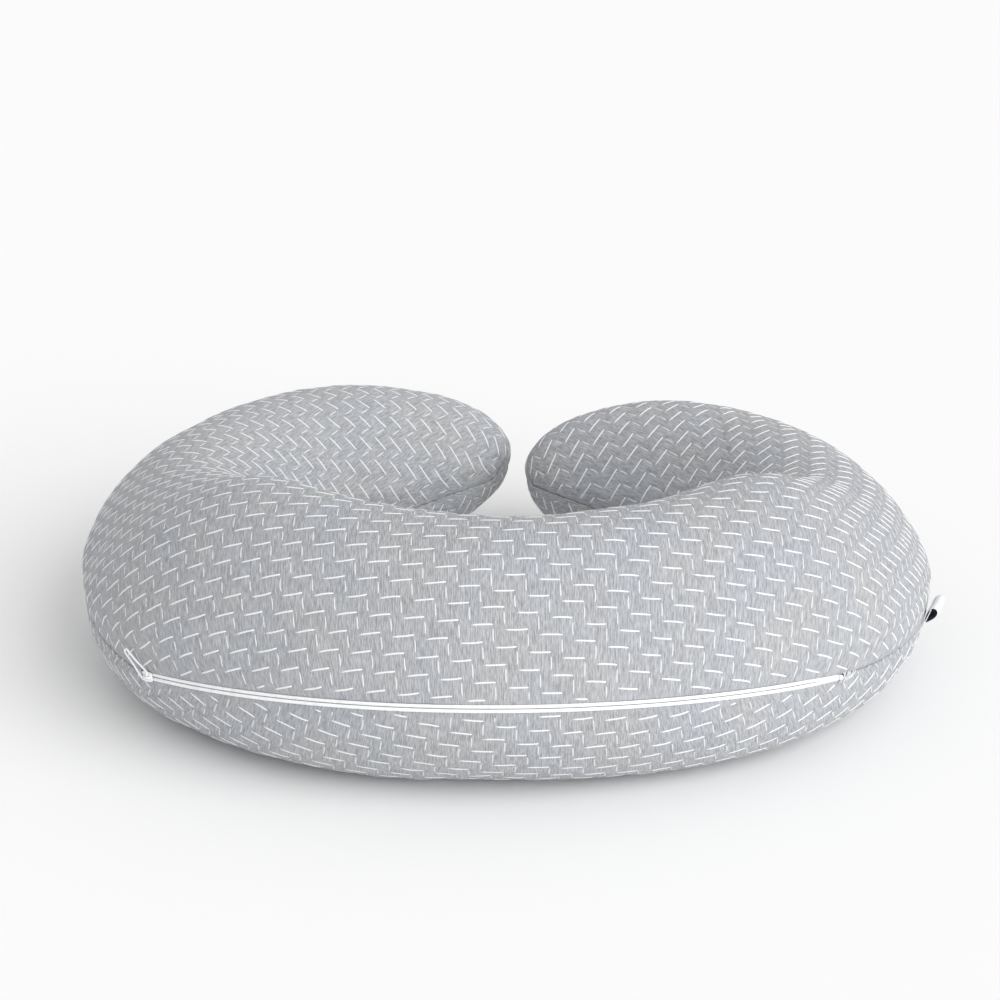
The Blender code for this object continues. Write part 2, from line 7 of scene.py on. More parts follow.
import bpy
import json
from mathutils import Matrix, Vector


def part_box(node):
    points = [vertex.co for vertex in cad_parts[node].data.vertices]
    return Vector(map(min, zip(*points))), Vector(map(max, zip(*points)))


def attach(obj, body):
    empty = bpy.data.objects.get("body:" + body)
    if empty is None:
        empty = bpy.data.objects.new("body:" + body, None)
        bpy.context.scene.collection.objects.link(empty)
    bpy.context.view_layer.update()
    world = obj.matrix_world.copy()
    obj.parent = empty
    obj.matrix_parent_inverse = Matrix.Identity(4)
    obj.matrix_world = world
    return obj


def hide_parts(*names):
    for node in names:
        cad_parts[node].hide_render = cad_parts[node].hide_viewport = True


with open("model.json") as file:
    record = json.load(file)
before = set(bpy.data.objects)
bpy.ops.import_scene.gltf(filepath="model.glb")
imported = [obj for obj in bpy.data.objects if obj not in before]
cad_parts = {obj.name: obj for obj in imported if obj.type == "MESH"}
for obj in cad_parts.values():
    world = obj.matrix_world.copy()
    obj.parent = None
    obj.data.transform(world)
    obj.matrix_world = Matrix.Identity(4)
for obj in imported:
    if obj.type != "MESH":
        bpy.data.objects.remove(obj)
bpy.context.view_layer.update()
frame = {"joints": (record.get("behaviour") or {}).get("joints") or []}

import json
import math

import bmesh
import bpy
import numpy as np
from mathutils import Matrix, Vector
from mathutils.kdtree import KDTree

# ---- the roll's middle line and sections, as in the CAD ----
FRONT_BEND = 4.82
FRONT_LENGTH = 0.1563
ARMS = {
    "left": {"side": -1.0, "length": 0.5941, "bends": (5.95, 7.18, 7.61),
             "end_half_width": 0.0743, "end_height": 0.1138, "tip_length": 0.1361,
             "outer_seam_z": (0.0545, 0.0560), "inner_seam_z": (0.0300, 0.0300, 0.0545)},
    "right": {"side": 1.0, "length": 0.5285, "bends": (7.91, 7.37, 7.79),
              "end_half_width": 0.0578, "end_height": 0.1195, "tip_length": 0.1413,
              "outer_seam_z": (0.0445, 0.0560), "inner_seam_z": (0.0300, 0.0300, 0.0600)},
}
BEND_PLACES = (0.45, 0.70, 1.0)
MID_HALF_WIDTH = 0.0740
FRONT_HEIGHT = 0.1530
MID_HEIGHT = 0.1221
WIDEST_Z = (0.0749, 0.0627, 0.0681)
CROWN_POWER = 1.73
BELLY_POWERS = (2.10, 2.75, 2.70, 2.07)
TIP_HEIGHT_POWER = 0.9
SINK = 0.0025
LOWEST_SEAM = 0.75

# ---- the layers ----
GAP = 0.0003
COVER = 0.0016
TAPE = 0.00045
TAPE_DEPTH = COVER + GAP
LINER = 0.0008
LINER_DEPTH = 0.0049
FILL_DEPTH = 0.0063
PLATE_DEPTH = 0.00365
PLATE = 0.0006

# ---- the zip ----
ZIP_RADIUS = 0.300
ZIP_TILT = math.radians(12.8)
ZIP_ROLL = math.radians(6)
ZIP_FRONT = (0.0, -0.0810, 0.0731)
ZIP_ENDS = (math.radians(-48.5), math.radians(38.4))
COIL_HALF_WIDTH = 0.0023
CHANNEL_HALF_WIDTH = 0.00065
COIL_PROUD = 0.0005
COIL_SUNK = 0.0015
SLOT_HALF_HEIGHT = COIL_HALF_WIDTH / math.cos(ZIP_TILT) + 2 * GAP
TAPE_REACH = 0.011
TAPE_STEP = 0.004
TAPE_ROWS = 9
SLOT_SHUT = 0.0025  # length over which the slot closes, past each end of the zip
STOP_LENGTH = 0.0022
STOP_CLEARANCE = 0.0004
COIL_PITCH = 0.00095
COIL_WIRE = 0.00062
COIL_SPOTS = 10  # points on each turn of the spiral
HEADS_AT = 0.00034  # how near to the zip's middle the heads of the coils reach
COVER_AT = 0.00245  # how near to it the cover's folded edges lie
ZIP_TAPER = (0.030, 0.62)  # length over which the zip narrows to its right end, and to what part
SLIDER_LENGTH = 0.0082
SLIDER_WIDTH = 0.0068
OUTER_PLATE = 0.0009
BAIL_RADIUS = 0.0024
WEB_LENGTH = 0.0026
WEB_HALF_WIDTH = 0.0003
RAIL_RADIUS = 0.0002
PULL_LENGTH = 0.0205
PULL_HALF_WIDTH = 0.0034
PULL_END_HALF_WIDTH = 0.0016
PULL_WIRE = 0.00062
PULL_PINCH = 0.0007

# ---- the label ----
LABEL_PLACE = 0.229
LABEL_WIDTH = 0.022
LABEL_REACH = 0.0115
LABEL_THICK = 0.0006
LABEL_RISE = math.radians(55)
LABEL_START = 0.0030
LABEL_BELLY = 0.0034
LABEL_ROWS = 41
LABEL_COLUMNS = 25

# ---- the knit's pattern: hooks of one long and one short float, on a slanted lattice ----
UNIT = 0.00628  # the pattern's own unit of length
LATTICE = ((3.02, -0.52), (-1.0, -1.57))  # from one hook to the next, along and down
LONG_FLOAT = 2.00  # lengths and widths below are in pattern units
SHORT_FLOAT = 1.25
SHORT_PLACE = (0.98, -1.00)  # middle of the short float, from the middle of the long one
LONG_HALF_WIDTH = 0.100
SHORT_HALF_WIDTH = 0.085
WALE_PITCH = 0.00095  # metres, and so below
COURSE_PITCH = 0.00075
QUILT_DEPTH = 0.00075
LONG_HEIGHT = 0.00044  # how high the floats stand
SHORT_HEIGHT = 0.00032
FLAT_TURN = 0.75  # the panels are cut with this part of the roll's turn
NEAR_HOOKS = ((0, 0), (0, 1), (1, 0), (1, 1), (-1, 0), (-1, 1), (0, -1), (1, -1), (2, 0), (-1, -1))
GROOVE_SPREAD = 0.34  # how wide a float's groove is, in pattern units
LONG_PULL = 0.75  # depth of a long float's groove, as a part of a short one's

# ---- how finely the cover is cut ----
STEP = 0.0022
EDGE_ROWS = (0.0, 0.0004, 0.0009, 0.0015, 0.0023)
INNER_STEP = 0.007  # the same for the liner and the fill
INNER_EDGE_ROWS = (0.0, 0.001)
FILL_GAP = 0.0006  # how far the fill stays inside its CAD solid
EDGE_ROUND = 0.0009  # radius of the folded edges
EDGE_GAP = 0.0002  # from a seam to each of the edges that meet in it
RIM = 0.0004  # thickness of the cloth at its very edge
PANEL_REACH = 0.235  # a panel's widest reach, from seam to seam
SEAM_DIP = 0.0014  # how far a seam draws the cloth in
SEAM_SPREAD = 0.0045  # and how far from the seam that fades
PUCKER = 0.0008  # height of the small folds beside a seam
CLEAR_OF_SEAM = 0.0022  # the floats stop this far from a seam
FIND_WITHIN = 0.006  # a float's point is dropped this far from the flat cloth
FOUND_WITHIN = 0.0008  # or when the search ends this far from it
CLEAR_OF_TABLE = 0.0009  # and no float is laid on cloth nearer to the table than this
TABLE_GAP = 0.00015  # the cover's lowest point above the table


# ---- the roll's shape ----
def smooth_through(x, places, values):
    """Monotone cubic curve through the points (places, values), read at x."""
    places = np.array(places, float)
    values = np.array(values, float)
    run = np.diff(places)
    rise = np.diff(values) / run
    slope = np.zeros(len(places))
    for i in range(1, len(places) - 1):
        if rise[i - 1] * rise[i] > 0:
            near = 2 * run[i] + run[i - 1]
            far = run[i] + 2 * run[i - 1]
            slope[i] = (near + far) / (near / rise[i - 1] + far / rise[i])
    slope[-1] = rise[-1]
    x = np.clip(x, places[0], places[-1])
    k = np.clip(np.searchsorted(places, x, side="right") - 1, 0, len(run) - 1)
    u = (x - places[k]) / run[k]
    return float(values[k] * (1 + 2 * u) * (1 - u) ** 2 + slope[k] * run[k] * u * (1 - u) ** 2
                 + values[k + 1] * u * u * (3 - 2 * u) - slope[k + 1] * run[k] * u * u * (1 - u))


def narrowing(distance):
    """Part of its full width that the zip has at a distance from its right end."""
    return float(np.interp(distance, [0, ZIP_TAPER[0]], [ZIP_TAPER[1], 1]))


class ZipArc:
    """The zip's arc. Angle 0 is its foremost point, and angles grow towards the right arm."""

    across = Vector((0.0, math.sin(ZIP_TILT), math.cos(ZIP_TILT)))
    back = Vector((0.0, math.cos(ZIP_TILT), -math.sin(ZIP_TILT)))
    centre = Vector(ZIP_FRONT) + ZIP_RADIUS * back

    @classmethod
    def outward(cls, angle):
        return Vector((math.sin(angle), 0, 0)) - math.cos(angle) * cls.back

    @classmethod
    def along(cls, angle):
        return Vector((math.cos(angle), 0, 0)) + math.sin(angle) * cls.back

    @classmethod
    def face(cls, angle):
        return math.cos(ZIP_ROLL) * cls.outward(angle) - math.sin(ZIP_ROLL) * cls.across

    @classmethod
    def point(cls, angle, out=0.0, up=0.0):
        face = cls.face(angle)
        upward = face.cross(cls.along(angle))
        return cls.centre + ZIP_RADIUS * cls.outward(angle) + out * face + up * upward

    @classmethod
    def seen_from(cls, x, y, out_x, out_y):
        """Reach and height of the arc, as an upright section at (x, y) meets it."""
        angle = math.atan2(out_x, -out_y)
        for _ in range(12):
            p = cls.point(angle)
            miss = (p.x - x) * out_y - (p.y - y) * out_x
            ahead = cls.along(angle)
            turn = ZIP_RADIUS * (ahead.x * out_y - ahead.y * out_x)
            angle -= miss / turn
        p = cls.point(angle)
        return math.hypot(p.x - x, p.y - y), p.z, angle


def profile(angle, power):
    """Unit section: angle 0 is the outer side, 90 degrees the top, 180 the inner side."""
    c = np.cos(angle)
    s = np.sin(angle)
    below = s < 0
    across = np.where(below, np.sign(c) * np.abs(c) ** (2 / power), c)
    up = np.where(below, -np.abs(s) ** (2 / power), np.abs(s) ** CROWN_POWER)
    return across, up


def section_angle(z, section):
    """Angle on the outer side where the section's surface is at height z."""
    shut = section["closing"] ** TIP_HEIGHT_POWER + 1e-9
    rise = z - section["widest"]
    if rise >= 0:
        part = min(rise / (section["crown"] * shut), LOWEST_SEAM)
        return math.asin(part ** (1 / CROWN_POWER))
    part = min(-rise / (section["belly"] * shut), LOWEST_SEAM)
    return -math.asin(part ** (section["power"] / 2))


def edge_angle(section, angle, shift):
    """The angle whose height is shift above (or, if negative, below) the one given."""
    up = float(profile(angle, section["power"])[1])
    tall = section["crown"] if up >= 0 else section["belly"]
    z = section["widest"] + up * tall * section["closing"] ** TIP_HEIGHT_POWER
    return section_angle(z + shift, section)


class Arm:
    """One half of the roll, from the front's centre (s = 0) to its tip (s = length)."""

    def __init__(self, side, length, bends, end_half_width, end_height, tip_length,
                 outer_seam_z, inner_seam_z):
        self.side = side
        self.length = length
        self.tip_length = tip_length
        self.neck = length - tip_length
        self.table = np.linspace(0, length, 600)
        places = [0, FRONT_LENGTH] + [part * length for part in BEND_PLACES]
        bend = np.interp(self.table, places, [FRONT_BEND, FRONT_BEND] + list(bends))
        step = self.table[1]
        self.heading = self.summed(bend, step)
        self.x = side * self.summed(np.cos(self.heading), step)
        self.y = self.summed(np.sin(self.heading), step)
        self.zip_end = self.find_zip_end()
        self.set_profiles(end_half_width, end_height, outer_seam_z, inner_seam_z)

    @staticmethod
    def summed(values, step):
        return np.concatenate([[0], np.cumsum((values[1:] + values[:-1]) / 2 * step)])

    def spine(self, s):
        heading = np.interp(s, self.table, self.heading)
        x = np.interp(s, self.table, self.x)
        y = np.interp(s, self.table, self.y)
        return x, y, self.side * math.sin(heading), -math.cos(heading)

    def find_zip_end(self):
        limit = ZIP_ENDS[0] if self.side < 0 else ZIP_ENDS[1]
        for s in self.table:
            angle = ZipArc.seen_from(*self.spine(s))[2]
            if abs(angle) >= abs(limit):
                return float(s)
        return self.length

    def set_profiles(self, end_half_width, end_height, outer_seam_z, inner_seam_z):
        half = 0.5 * self.length
        knots = [0, FRONT_LENGTH, half, self.length]
        self.height_at = (knots, [FRONT_HEIGHT, FRONT_HEIGHT, MID_HEIGHT, end_height])
        self.widest_at = (knots, [WIDEST_Z[0], *WIDEST_Z])
        self.belly_at = (knots, BELLY_POWERS)
        self.inner_at = (knots, [inner_seam_z[0], *inner_seam_z])
        by_zip = [self.zip_end - 0.02, self.zip_end]
        seam = [ZipArc.seen_from(*self.spine(s))[1] for s in by_zip]
        self.outer_at = (by_zip + [half, self.length], seam + list(outer_seam_z))
        width = [self.section(s)["half_width"] for s in by_zip]
        self.width_at = (by_zip + [half, self.length], width + [MID_HALF_WIDTH, end_half_width])

    def section(self, s):
        """All that describes the roll's section at s, before the tip closes it."""
        widest = smooth_through(s, *self.widest_at)
        power = smooth_through(s, *self.belly_at)
        beyond = max(0.0, s - self.neck) / self.tip_length
        found = {"s": s, "widest": widest, "belly": widest + SINK, "power": power,
                 "crown": smooth_through(s, *self.height_at) - widest,
                 "closing": math.sqrt(max(0.0, 1 - beyond * beyond))}
        by_zip = s <= self.zip_end
        if by_zip:
            reach, seam_z, _ = ZipArc.seen_from(*self.spine(s))
        else:
            seam_z = smooth_through(s, *self.outer_at)
        inner_z = smooth_through(s, *self.inner_at)
        found["outer_angle"] = section_angle(seam_z, found)
        found["inner_angle"] = math.pi - section_angle(inner_z, found)
        if by_zip:
            found["half_width"] = reach / float(profile(found["outer_angle"], power)[0])
        else:
            found["half_width"] = smooth_through(s, *self.width_at)
        return found

    def place(self, section, angles, depth=0.0):
        """Points of the roll's surface at this section and these angles, moved in by depth."""
        s = section["s"]
        if s > self.neck:
            s = self.neck + (s - self.neck) * (self.tip_length - depth) / self.tip_length
        x, y, out_x, out_y = self.spine(s)
        across, up = profile(np.asarray(angles, float), section["power"])
        reach = across * (section["half_width"] - depth) * section["closing"]
        tall = np.where(up >= 0, section["crown"], section["belly"])
        rise = up * (tall - depth) * section["closing"] ** TIP_HEIGHT_POWER
        z = np.maximum(section["widest"] + rise, depth)
        return np.stack([x + out_x * reach, y + out_y * reach, z], axis=-1)


LEFT = Arm(**ARMS["left"])
RIGHT = Arm(**ARMS["right"])
zip_joint = next(joint for joint in frame["joints"] if joint["name"] == "zip_slide")
# from the CAD's own origin, at the front's centre, to the frame's
SHIFT = Vector(zip_joint["pos_m"]) - ZipArc.centre


# ---- grids over the roll ----
def run_along(points):
    """Distance along a line of points, from the first one to each."""
    return np.concatenate([[0], np.cumsum(np.linalg.norm(np.diff(points, axis=0), axis=1))])


def arm_spots(arm, step):
    """Places along an arm, about step apart, that close up round the tip."""
    even = np.linspace(0, arm.neck, max(2, round(arm.neck / step)) + 1)
    count = max(6, round(arm.tip_length * 1.2 / step))
    turn = np.linspace(0, math.pi / 2, count + 1)[1:]
    return list(even) + list(arm.neck + arm.tip_length * np.sin(turn))


def roll_stations(step):
    row = [(LEFT, s) for s in reversed(arm_spots(LEFT, step))]
    row += [(RIGHT, s) for s in arm_spots(RIGHT, step)[1:]]
    return [(arm, arm.section(float(s))) for arm, s in row]


class Sheet:
    """A grid over one panel: stations along the roll, rows from the outer edge to the inner one."""

    def __init__(self, upper, step, depth=0.0, slotted=True, edge_rows=EDGE_ROWS):
        self.upper = upper
        self.middle = math.pi / 2 if upper else -math.pi / 2
        self.stations = roll_stations(step)
        turned = slice(None) if upper else slice(None, None, -1)
        points, from_outer, from_inner, across = [], [], [], []
        for arm, section in self.stations:
            fine = np.linspace(*self.edges(arm, section, slotted), 500)
            run = run_along(arm.place(section, fine, depth))
            spots = self.row_spots(run[-1], round(PANEL_REACH / step), edge_rows)
            points.append(arm.place(section, np.interp(spots, run, fine), depth))
            from_outer.append(spots)
            from_inner.append(run[-1] - spots)
            across.append(np.interp(self.middle, fine[turned], run[turned]) - spots)
        self.points = np.array(points) + np.array(SHIFT)
        self.from_outer = np.array(from_outer)
        self.from_inner = np.array(from_inner)
        self.across = np.array(across)
        self.flat = self.flat_places()
        self.normals = self.surface_normals(self.points)
        self.in_slot = np.array([section["s"] <= arm.zip_end for arm, section in self.stations])

    def edges(self, arm, section, slotted):
        """Angles of the panel's outer and inner edges at a section."""
        sign = 1 if self.upper else -1
        opening = 0.0
        if slotted:
            opening = float(np.interp(section["s"], [arm.zip_end, arm.zip_end + SLOT_SHUT], [1, 0]))
            if arm.side > 0:
                opening *= narrowing(arm.zip_end - section["s"])
        shift = opening * COVER_AT + (1 - opening) * EDGE_GAP
        start = edge_angle(section, section["outer_angle"], sign * shift)
        end = math.pi - edge_angle(section, math.pi - section["inner_angle"], sign * EDGE_GAP)
        if section["closing"] < 1e-6:
            start = section["outer_angle"]
            end = section["inner_angle"]
        return start, end if self.upper else end - 2 * math.pi

    @staticmethod
    def row_spots(length, count, edge_rows):
        """Distances from the outer edge: close rows at both edges, even ones between."""
        near = np.array(edge_rows) * min(1.0, length / 0.02)
        middle = np.linspace(near[-1], length - near[-1], count)
        return np.concatenate([near[:-1], middle, length - near[:-1][::-1]])

    def flat_places(self):
        """Where each point was on the flat cloth, before it was sewn round the roll."""
        start = next(i for i, (arm, section) in enumerate(self.stations) if section["s"] == 0.0)
        middle = [arm.place(section, self.middle) for arm, section in self.stations]
        step = np.linalg.norm(np.diff(np.array(middle), axis=0), axis=1)
        turn = np.array([arm.side * FLAT_TURN * np.interp(section["s"], arm.table, arm.heading)
                         for arm, section in self.stations])
        mid_turn = (turn[1:] + turn[:-1]) / 2
        ahead = np.stack([np.cos(mid_turn), np.sin(mid_turn)], axis=1) * step[:, None]
        line = np.concatenate([[[0, 0]], np.cumsum(ahead, axis=0)])
        line -= line[start]
        out = np.stack([np.sin(turn), -np.cos(turn)], axis=1)
        flat = line[:, None, :] + self.across[:, :, None] * out[:, None, :]
        if not self.upper:
            flat[:, :, 1] *= -1
        return flat

    @staticmethod
    def surface_normals(points):
        """Unit normals out of the roll."""
        along = np.gradient(points, axis=0)
        across = np.gradient(points, axis=1)
        normal = np.cross(across, along)
        size = np.linalg.norm(normal, axis=2, keepdims=True)
        centre = points.mean(axis=1, keepdims=True)
        weak = size[:, :, 0] < 1e-12
        normal = normal / np.maximum(size, 1e-12)
        if np.mean(np.sum(normal * (points - centre), axis=2)) < 0:
            normal = -normal
        for i, j in np.argwhere(weak):
            near = min(max(i, 1), len(points) - 2)
            normal[i, j] = normal[near, j]
        return normal

    def read(self, table, place):
        """Bilinear reading of a grid of values at a fractional (row, column)."""
        i = int(np.clip(math.floor(place[0]), 0, table.shape[0] - 2))
        j = int(np.clip(math.floor(place[1]), 0, table.shape[1] - 2))
        u = place[0] - i
        v = place[1] - j
        return ((table[i, j] * (1 - u) + table[i + 1, j] * u) * (1 - v)
                + (table[i, j + 1] * (1 - u) + table[i + 1, j + 1] * u) * v)


# ---- the pattern ----
def on_lattice(x, y):
    """Steps along and down the lattice that lead to a place given in pattern units."""
    (ax, ay), (bx, by) = LATTICE
    det = ax * by - ay * bx
    return (x * by - y * bx) / det, (ax * y - ay * x) / det


def hook_offsets(flat):
    """Offsets, in pattern units, from the nearest hooks' middles to each flat place."""
    x = flat[..., 0] / UNIT
    y = flat[..., 1] / UNIT
    (ax, ay), (bx, by) = LATTICE
    p, q = (np.floor(steps) for steps in on_lattice(x, y))
    for dp, dq in NEAR_HOOKS:
        yield x - (p + dp) * ax - (q + dq) * bx, y - (p + dp) * ay - (q + dq) * by


def groove(along, beside, half_length):
    """1 on a float's line, fading beside it and past its ends."""
    past = np.maximum(np.abs(along) - half_length, 0)
    return np.exp(-(beside / GROOVE_SPREAD) ** 2 - (past / (0.8 * GROOVE_SPREAD)) ** 2)


def relief(flat):
    """Height of the quilted surface: pads that the floats draw in along their lines."""
    drawn = np.zeros(flat.shape[:-1])
    for x, y in hook_offsets(flat):
        long_one = groove(x, y, LONG_FLOAT / 2)
        short_one = groove(y - SHORT_PLACE[1], x - SHORT_PLACE[0], SHORT_FLOAT / 2)
        drawn = np.maximum(drawn, np.maximum(LONG_PULL * long_one, short_one))
    return -QUILT_DEPTH * drawn


def smooth_noise(places, size, seed):
    """Gentle repeatable noise between -1 and 1 over an array of 3D places."""
    rng = np.random.default_rng(seed)
    total = np.zeros(places.shape[:-1])
    for _ in range(10):
        direction = rng.normal(size=3)
        direction /= np.linalg.norm(direction)
        pitch = size * rng.uniform(0.7, 1.5)
        total += np.sin(places @ direction * (2 * math.pi / pitch) + rng.uniform(0, 2 * math.pi))
    return total / 4.5


# ---- mesh helpers ----
def mesh_object(name, verts, faces, smooth=True):
    mesh = bpy.data.meshes.new(name)
    mesh.from_pydata([tuple(v) for v in verts], [], faces)
    mesh.update()
    if smooth:
        mesh.shade_smooth()
    obj = bpy.data.objects.new(name, mesh)
    bpy.context.scene.collection.objects.link(obj)
    return obj


def finish_piece(obj, body, material, nodes=()):
    """Give a piece its material and its body, and hide the CAD nodes that it stands for."""
    obj.data.materials.clear()
    obj.data.materials.append(material)
    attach(obj, body)
    if nodes:
        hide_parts(*nodes)


def weld(obj, distance=1e-6):
    bm = bmesh.new()
    bm.from_mesh(obj.data)
    bmesh.ops.remove_doubles(bm, verts=bm.verts, dist=distance)
    bmesh.ops.dissolve_degenerate(bm, edges=bm.edges, dist=distance)
    bmesh.ops.recalc_face_normals(bm, faces=bm.faces)
    bm.to_mesh(obj.data)
    bm.free()


def coarse_marks(count, stride):
    return [*range(0, count - 1, stride), count - 1]


def grid_faces(rows, cols):
    return [(i * cols + j, i * cols + j + 1, (i + 1) * cols + j + 1, (i + 1) * cols + j)
            for i in range(rows - 1) for j in range(cols - 1)]


def ring_faces(count, sides, closed=False):
    """Faces round a row of rings, with a cap at both ends unless the row is closed."""
    faces = []
    for k in range(count if closed else count - 1):
        n = (k + 1) % count
        for a in range(sides):
            b = (a + 1) % sides
            faces.append((k * sides + a, k * sides + b, n * sides + b, n * sides + a))
    if not closed:
        faces.append(tuple(range(sides - 1, -1, -1)))
        faces.append(tuple(range((count - 1) * sides, count * sides)))
    return faces


def shell(name, outer, inner, flat=None, stride=6):
    """Closed cloth: a fine outer skin and a coarse inner one that meets it all round its rim."""
    rows, cols, _ = outer.shape
    verts = list(outer.reshape(-1, 3))
    number = np.arange(rows * cols).reshape(rows, cols)
    faces = grid_faces(rows, cols)
    marks_i = coarse_marks(rows, stride)
    marks_j = coarse_marks(cols, stride)
    back = {}

    def back_vert(i, j):
        if (i, j) not in back:
            back[(i, j)] = len(verts)
            verts.append(inner[i, j])
        return back[(i, j)]

    for i0, i1 in zip(marks_i, marks_i[1:]):
        for j0, j1 in zip(marks_j, marks_j[1:]):
            side = [(i0, j) for j in (range(j0, j1) if i0 == 0 else [j0])]
            side += [(i, j1) for i in (range(i0, i1) if j1 == cols - 1 else [i0])]
            side += [(i1, j) for j in (range(j1, j0, -1) if i1 == rows - 1 else [j1])]
            side += [(i, j0) for i in (range(i1, i0, -1) if j0 == 0 else [i1])]
            faces.append([back_vert(i, j) for i, j in side])
    for j in range(cols - 1):
        faces.append((number[0, j + 1], number[0, j], back_vert(0, j), back_vert(0, j + 1)))
        faces.append((number[-1, j], number[-1, j + 1], back_vert(rows - 1, j + 1),
                      back_vert(rows - 1, j)))
    for i in range(rows - 1):
        faces.append((number[i, 0], number[i + 1, 0], back_vert(i + 1, 0), back_vert(i, 0)))
        faces.append((number[i + 1, -1], number[i, -1], back_vert(i, cols - 1),
                      back_vert(i + 1, cols - 1)))
    obj = mesh_object(name, verts, [tuple(int(v) for v in face) for face in faces])
    if flat is not None:
        places = np.zeros((len(verts), 2))
        places[:rows * cols] = flat.reshape(-1, 2)
        for (i, j), k in back.items():
            places[k] = flat[i, j]
        write_flat_map(obj, places)
    weld(obj)
    return obj


def write_flat_map(obj, places):
    """Store each corner's place on the flat cloth, in metres, as the UV map named flat."""
    layer = obj.data.uv_layers.new(name="flat")
    corner = np.zeros(len(obj.data.loops), int)
    obj.data.loops.foreach_get("vertex_index", corner)
    layer.data.foreach_set("uv", places[corner].astype(np.float32).ravel())


def tube(points, radius, sides, closed=False):
    """Vertices and faces of a round tube along points; radius is one number, or one a point."""
    points = np.array(points, float)
    count = len(points)
    if closed:
        tangent = np.roll(points, -1, axis=0) - np.roll(points, 1, axis=0)
    else:
        tangent = np.gradient(points, axis=0)
    tangent /= np.maximum(np.linalg.norm(tangent, axis=1, keepdims=True), 1e-12)
    normal = np.cross(tangent[0], [0.0, 0.0, 1.0])
    if np.linalg.norm(normal) < 1e-3:
        normal = np.cross(tangent[0], [0.0, 1.0, 0.0])
    verts = []
    for k in range(count):
        normal = normal - tangent[k] * (normal @ tangent[k])
        normal /= np.linalg.norm(normal)
        other = np.cross(tangent[k], normal)
        size = radius[k] if np.ndim(radius) else radius
        for a in np.linspace(0, 2 * math.pi, sides, endpoint=False):
            verts.append(points[k] + size * (math.cos(a) * normal + math.sin(a) * other))
    return verts, ring_faces(count, sides, closed)


def gather(pieces):
    """Several (vertices, faces) as one."""
    verts, faces = [], []
    for more, sides in pieces:
        start = len(verts)
        verts += list(more)
        faces += [tuple(start + v for v in side) for side in sides]
    return verts, faces


# ---- materials ----
class Nodes:
    """A node tree under construction, with short names for what is used again and again."""

    def __init__(self, name, colour, roughness, sheen=0.0, coat=0.0):
        self.material = bpy.data.materials.new(name)
        self.material.use_nodes = True
        self.tree = self.material.node_tree
        self.shader = self.tree.nodes["Principled BSDF"]
        for socket, value in (("Base Color", (*colour, 1.0)), ("Roughness", roughness),
                              ("Sheen Weight", sheen), ("Sheen Roughness", 0.5),
                              ("Coat Weight", coat)):
            self.shader.inputs[socket].default_value = value

    def add(self, kind, inputs=None, **settings):
        """A new node; inputs are values or other nodes' outputs, by the socket's name or number."""
        node = self.tree.nodes.new(kind)
        for key, value in settings.items():
            setattr(node, key, value)
        for key, value in (inputs or {}).items():
            if isinstance(value, bpy.types.NodeSocket):
                self.tree.links.new(value, node.inputs[key])
            else:
                node.inputs[key].default_value = value
        return node

    def maths(self, operation, first, second=0.0, third=0.0):
        return self.add("ShaderNodeMath", {0: first, 1: second, 2: third},
                        operation=operation).outputs[0]

    def wave(self, value, pitch):
        return self.maths("SINE", self.maths("MULTIPLY", value, 2 * math.pi / pitch))

    def flat_place(self):
        return self.add("ShaderNodeUVMap", uv_map="flat").outputs[0]

    def object_place(self):
        return self.add("ShaderNodeTexCoord").outputs["Object"]

    def split(self, vector):
        return self.add("ShaderNodeSeparateXYZ", {0: vector}).outputs

    def noise(self, vector, scale, detail=2.0, roughness=0.5):
        """Noise, of one scale or of three: along X, Y and Z."""
        if isinstance(scale, tuple):
            vector = self.add("ShaderNodeMapping", {"Vector": vector, "Scale": scale}).outputs[0]
            scale = 1.0
        return self.add("ShaderNodeTexNoise", {"Vector": vector, "Scale": scale, "Detail": detail,
                                               "Roughness": roughness}).outputs[0]

    def ramp(self, value, stops):
        node = self.add("ShaderNodeValToRGB", {0: value})
        elements = node.color_ramp.elements
        while len(elements) < len(stops):
            elements.new(0.5)
        for element, (place, colour) in zip(elements, stops):
            element.position = place
            element.color = (*colour, 1.0)
        return node.outputs[0]

    def colour(self, value):
        self.tree.links.new(value, self.shader.inputs["Base Color"])

    def tone(self, value, low, high, colour, share):
        """Colour the surface by value: share of the colour up to low, and all of it from high."""
        darker = tuple(c * share for c in colour)
        self.colour(self.ramp(value, [(low, darker), (high, colour)]))

    def bump(self, height, distance, strength):
        node = self.add("ShaderNodeBump", {"Height": height, "Distance": distance,
                                           "Strength": strength})
        self.tree.links.new(node.outputs[0], self.shader.inputs["Normal"])


